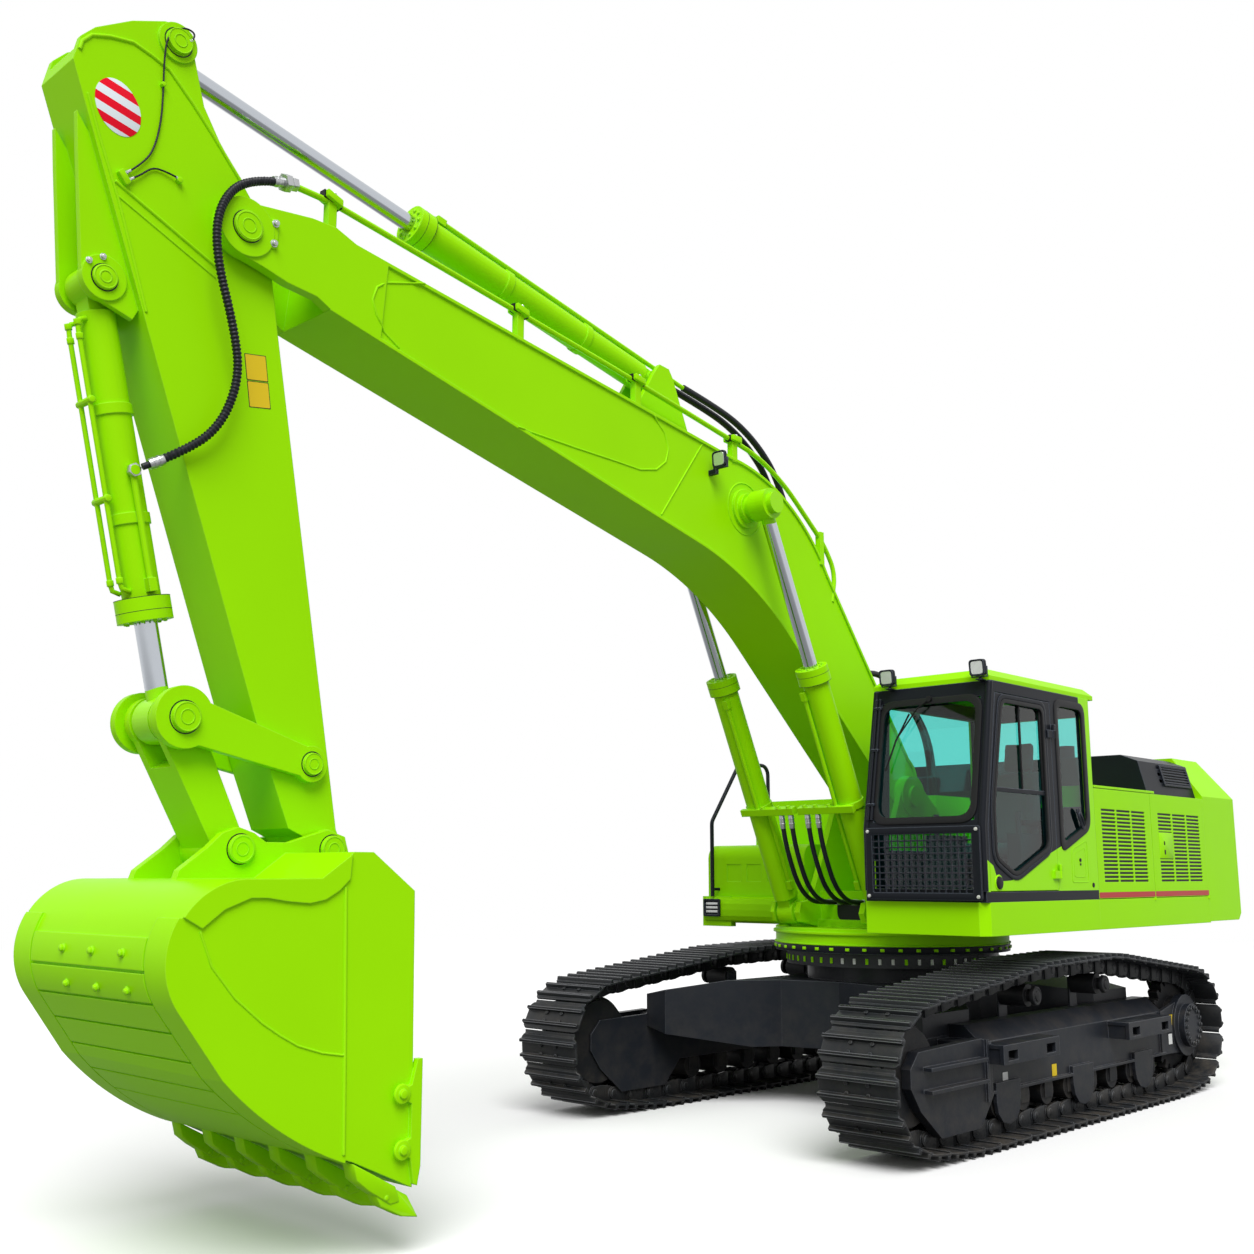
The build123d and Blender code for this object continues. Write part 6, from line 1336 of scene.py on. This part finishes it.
DRUM_BOLTS = 44
DRUM_WAY = Vector((math.cos(0.6), math.sin(0.6), 0))
DRUM = struck("main_frame", DRUM_WAY * 1.6 + Vector((0, 0, 1.300)), -DRUM_WAY)[0].xy.length
form, form_green = bmesh.new(), bmesh.new()
hoop(form, DRUM - 0.004, DRUM + 0.005, 1.2105, 1.268)
hoop(form_green, DRUM - 0.004, DRUM + 0.020, 1.352, 1.374)
hoop(form_green, DRUM - 0.004, DRUM + 0.012, 1.270, 1.282)
for k in range(DRUM_BOLTS):
    cube_round(form_green, 2 * math.pi * (k + 0.5) / DRUM_BOLTS, (DRUM + 0.008, 0, 1.243), (0.016, 0.032, 0.022, 1))
piece(form, "drum_skirt_ring", satin_black, "upper_structure", soften=0.001)
piece(form_green, "drum_flanges", green, "upper_structure", soften=0.0015)

# ---- Track frame plates and rollers -----------------------------------------
# Blank yellow and white plates on the left track frame, and turned end covers
# on the carrier rollers.
for number, (x, z, finish) in enumerate(((0.226, 0.396, plate_yellow), (0.968, 0.411, plate_white),
                                         (-1.905, 0.600, plate_yellow), (-1.871, 0.445, plate_white)), start=1):
    y = skin("track_frame_left", x, z)
    blank_plate(f"frame_plate_{number}", "undercarriage", (x, z), (0.075, 0.085), finish, y)
form = bmesh.new()
for side, node in ((1, "rollers_left"), (-1, "rollers_right")):
    for x, z in ((0.540, 0.950), (-0.610, 0.970)):
        y = skin(node, x, z, side)
        if y is None:
            continue
        barrel(form, (x, y - side * 0.004, z), (x, y + side * 0.026, z), 0.070, sides=32, top=0.066)
        barrel(form, (x, y + side * 0.024, z), (x, y + side * 0.036, z), 0.040, sides=24, top=0.036)
        disc_ring(form, (x, z), y + side * 0.026, 0.052, 0.060, 0.003, side)
piece(form, "carrier_roller_covers", cast_black, "undercarriage", soften=0.0015)

# ---- Corner lamp ------------------------------------------------------------
# A marker lamp in the right front corner of the house: three lens strips over
# a dark tray, in a rounded bezel.


def front_face(y, z):
    """X of the foremost fixed face at a place on the house front."""
    found = [struck(node, (2, y, z), (-1, 0, 0)) for node in ("main_frame", "side_skirts", "tool_box")]
    return max(face[0].x for face in found if face)


LAMP_X = front_face(-1.533, 1.530)
form, form_lens = bmesh.new(), bmesh.new()
outer = eased(box_line((-1.625, -1.440), (1.455, 1.608)), 0.018)
inner = eased(box_line((-1.609, -1.456), (1.471, 1.592)), 0.010)
rim(form, inner, outer, -0.001, 0.020, lambda u, v, w: (LAMP_X + w, u, v))
block(form, (LAMP_X - 0.001, LAMP_X + 0.004), (-1.615, -1.450), (1.465, 1.598))
for z in (1.487, 1.521, 1.555):
    block(form_lens, (LAMP_X + 0.003, LAMP_X + 0.013), (-1.600, -1.465), (z, z + 0.022))
piece(form, "corner_lamp", satin_black, "upper_structure", soften=0.0015)
piece(form_lens, "corner_lamp_lens", lamp_glass, "upper_structure", soften=0.002)

# ---- Operator's seat --------------------------------------------------------
# A suspension seat: a rubber bellows on a base plate, and three stuffed pieces
# in charcoal cloth with sewn channels: cushion, back rest and head rest.
cloth = coating("seat_cloth", (0.070, 0.078, 0.084), 0.85, radius=0.0, scale=900, bump=0.6, tone=0.25, gloss=0.3)
SEAT_MIDDLE_Y, SEAT_SLOT = 1.190, "seat_fabric"
CLOTH_GRID, CLOTH_PRESSURE, CLOTH_FRAMES, SWELL_LIMIT = 0.012, 4, 15, 0.014
CHANNEL_HALF, CHANNEL_DEPTH = 0.030, 0.010


def stuffed(name, outline, half, channels):
    """A stuffed pad: an (x, z) outline across the seat, swollen by cloth pressure, then sewn in channels."""
    form = bmesh.new()
    prism(form, eased(outline, 0.035), SEAT_MIDDLE_Y - half, SEAT_MIDDLE_Y + half)
    pad = shaped(form, name, cloth)
    remesh = pad.modifiers.new("remesh", "REMESH")
    remesh.mode = "VOXEL"
    remesh.voxel_size = CLOTH_GRID
    rest = [vert.co.copy() for vert in baked(pad).data.vertices]
    swell = pad.modifiers.new("swell", "CLOTH")
    swell.settings.use_pressure = True
    swell.settings.uniform_pressure_force = CLOTH_PRESSURE
    swell.settings.effector_weights.gravity = 0
    swell.settings.quality = 4
    for step in range(1, CLOTH_FRAMES + 1):
        bpy.context.scene.frame_set(step)
    verts = baked(pad).data.vertices
    bpy.context.scene.frame_set(1)
    for vert, old in zip(verts, rest):
        move = vert.co - old
        if move.length > SWELL_LIMIT:
            vert.co = old + move * (SWELL_LIMIT / move.length)
    centre = sum((vert.co for vert in verts), Vector()) / len(verts)
    for vert in verts:
        near = min(abs(vert.co.y - SEAT_MIDDLE_Y - offset) for offset in channels)
        if near < CHANNEL_HALF:
            out = vert.co - centre
            out.y = 0
            vert.co -= out.normalized() * CHANNEL_DEPTH * (1 - near / CHANNEL_HALF) ** 2
    finer = pad.modifiers.new("finer", "SUBSURF")
    finer.levels = finer.render_levels = 1
    baked(pad).data.shade_smooth()
    placed(pad, "upper_structure")


stuffed("seat_cushion", box_line((0.055, 0.575), (1.945, 2.045)), 0.245, (-0.14, 0.14))
stuffed("seat_back", [(0.065, 2.005), (-0.118, 2.615), (-0.055, 2.645), (-0.002, 2.590), (0.178, 2.045)], 0.225,
        (-0.13, 0.13))
stuffed("seat_headrest", [(-0.130, 2.622), (-0.158, 2.848), (-0.092, 2.866), (-0.050, 2.650)], 0.115,
        (-0.2, 0.2))
form = bmesh.new()
block(form, (0.080, 0.520), (1.020, 1.360), (1.690, 1.730))
for k in range(5):
    z = 1.732 + k * 0.036
    block(form, (0.110, 0.490), (1.050, 1.330), (z, z + 0.014))
    block(form, (0.125, 0.475), (1.065, 1.315), (z + 0.012, z + 0.037))
block(form, (0.090, 0.540), (0.990, 1.390), (1.912, 1.934))
for y in (0.945, 1.395):
    block(form, (0.020, 0.330), (y, y + 0.045), (2.190, 2.235))
seat_base = piece(form, "seat_base", dark_rubber_and_shade, "upper_structure", soften=0.003)
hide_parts("operator_seat")

# ---- Cylinder glands and pipes ----------------------------------------------
# Bolted glands with turned joint lines on all four cylinders, and the two hard
# pipes that run down the outer side of the bucket cylinder.
LIFT_FOOT, LIFT_EYE = (0.800, 1.520), (2.210, 4.530)
CROWD_FOOT, CROWD_EYE = (3.000, 5.370), (6.915, 6.180)
CURL_FOOT, LINK_PIN = (7.205, 4.765), (6.675, 2.591)
GLAND_BOLTS = 10
gland_bolt = hexagon_bolt("gland_bolt", 0.019, 0.009, green)
for body, foot, eye, y, length, gland, rod in (
        ("lift_barrel_left", LIFT_FOOT, LIFT_EYE, 0.440, 2.040, 0.125, 0.052),
        ("lift_barrel_right", LIFT_FOOT, LIFT_EYE, -0.440, 2.040, 0.125, 0.052),
        ("crowd_barrel", CROWD_FOOT, CROWD_EYE, 0.0, 2.260, 0.128, 0.054),
        ("curl_barrel", CURL_FOOT, LINK_PIN, 0.0, 1.730, 0.138, 0.058)):
    way = Vector((eye[0] - foot[0], 0, eye[1] - foot[1])).normalized()
    across = Vector((0, 1, 0))
    upward = way.cross(across)
    origin = Vector((foot[0], y, foot[1]))
    mouth = origin + way * length
    turned = tuple(way.to_track_quat("Z", "Y").to_euler())
    repeated(f"{body}_gland_bolts", gland_bolt,
             [(tuple(mouth + across * a + upward * b), turned) for a, b in circle((gland + rod) / 2, GLAND_BOLTS)],
             green, body)
    form = bmesh.new()
    for back in (0.121, 0.052):
        barrel(form, mouth - way * back, mouth - way * (back - 0.0025), gland + 0.0006, sides=64)
    piece(form, f"{body}_joint_lines", dark_rubber_and_shade, body)
dropped(gland_bolt)
way = Vector((LINK_PIN[0] - CURL_FOOT[0], 0, LINK_PIN[1] - CURL_FOOT[1])).normalized()
outward = Vector((-way.z, 0, way.x))
form = bmesh.new()
for y in (0.050, -0.050):
    origin = Vector((CURL_FOOT[0], y, CURL_FOOT[1]))
    bends = ((0.185, 0.080), (0.190, 0.112), (0.215, 0.128), (0.250, 0.130), (1.520, 0.130), (1.555, 0.124),
             (1.575, 0.085))
    swept(form, [origin + way * t + outward * off for t, off in bends], lambda s: 0.013, 12)
    for t in (0.190, 0.262, 1.500):
        spot = origin + way * t + outward * 0.129
        barrel(form, spot, spot + way * 0.030, 0.020, sides=6)
for t in (0.600, 1.100):
    spot = Vector((CURL_FOOT[0], 0, CURL_FOOT[1])) + way * t + outward * 0.128
    barrel(form, spot + Vector((0, -0.075, 0)), spot + Vector((0, 0.075, 0)), 0.019, sides=8)
piece(form, "bucket_cylinder_pipes", green, "curl_barrel", soften=0.0015, smooth=40)

# ---- Hose port and lift cylinder brackets -----------------------------------
# The lift hoses leave the frame through a port beside the cab floor, drawn as a
# flat dark patch of painted shade; the pipe brackets on the lift cylinders are
# closed by plated bolts.
PORT_X = front_face(0.200, 1.560)
form = bmesh.new()
outer = eased(box_line((-0.120, 0.400), (1.450, 1.618)), 0.07)
inner = [(0.140 + (y - 0.140) * SLIT, 1.536 + (z - 1.536) * SLIT) for y, z in outer]
rim(form, inner, outer, -0.002, 0.004, lambda u, v, w: (PORT_X + w, u, v))
piece(form, "hose_port", dark_rubber_and_shade, "upper_structure")
for body, rows in (("lift_barrel_left", (0.560, 0.320, 0.190, 0.090)),
                   ("lift_barrel_right", (-0.560, -0.320, -0.170, -0.070))):
    found = [struck(body, (3, y, 2.338), (-1, 0, 0)) for y in rows]
    places = [standing(face) for face in found if face and face[0].x > 1.1]
    if places:
        nuts = hexagon_bolt(f"{body}_nut", 0.030, 0.018, green)
        repeated(f"{body}_bracket_bolts", nuts, places, green, body)
        dropped(nuts)
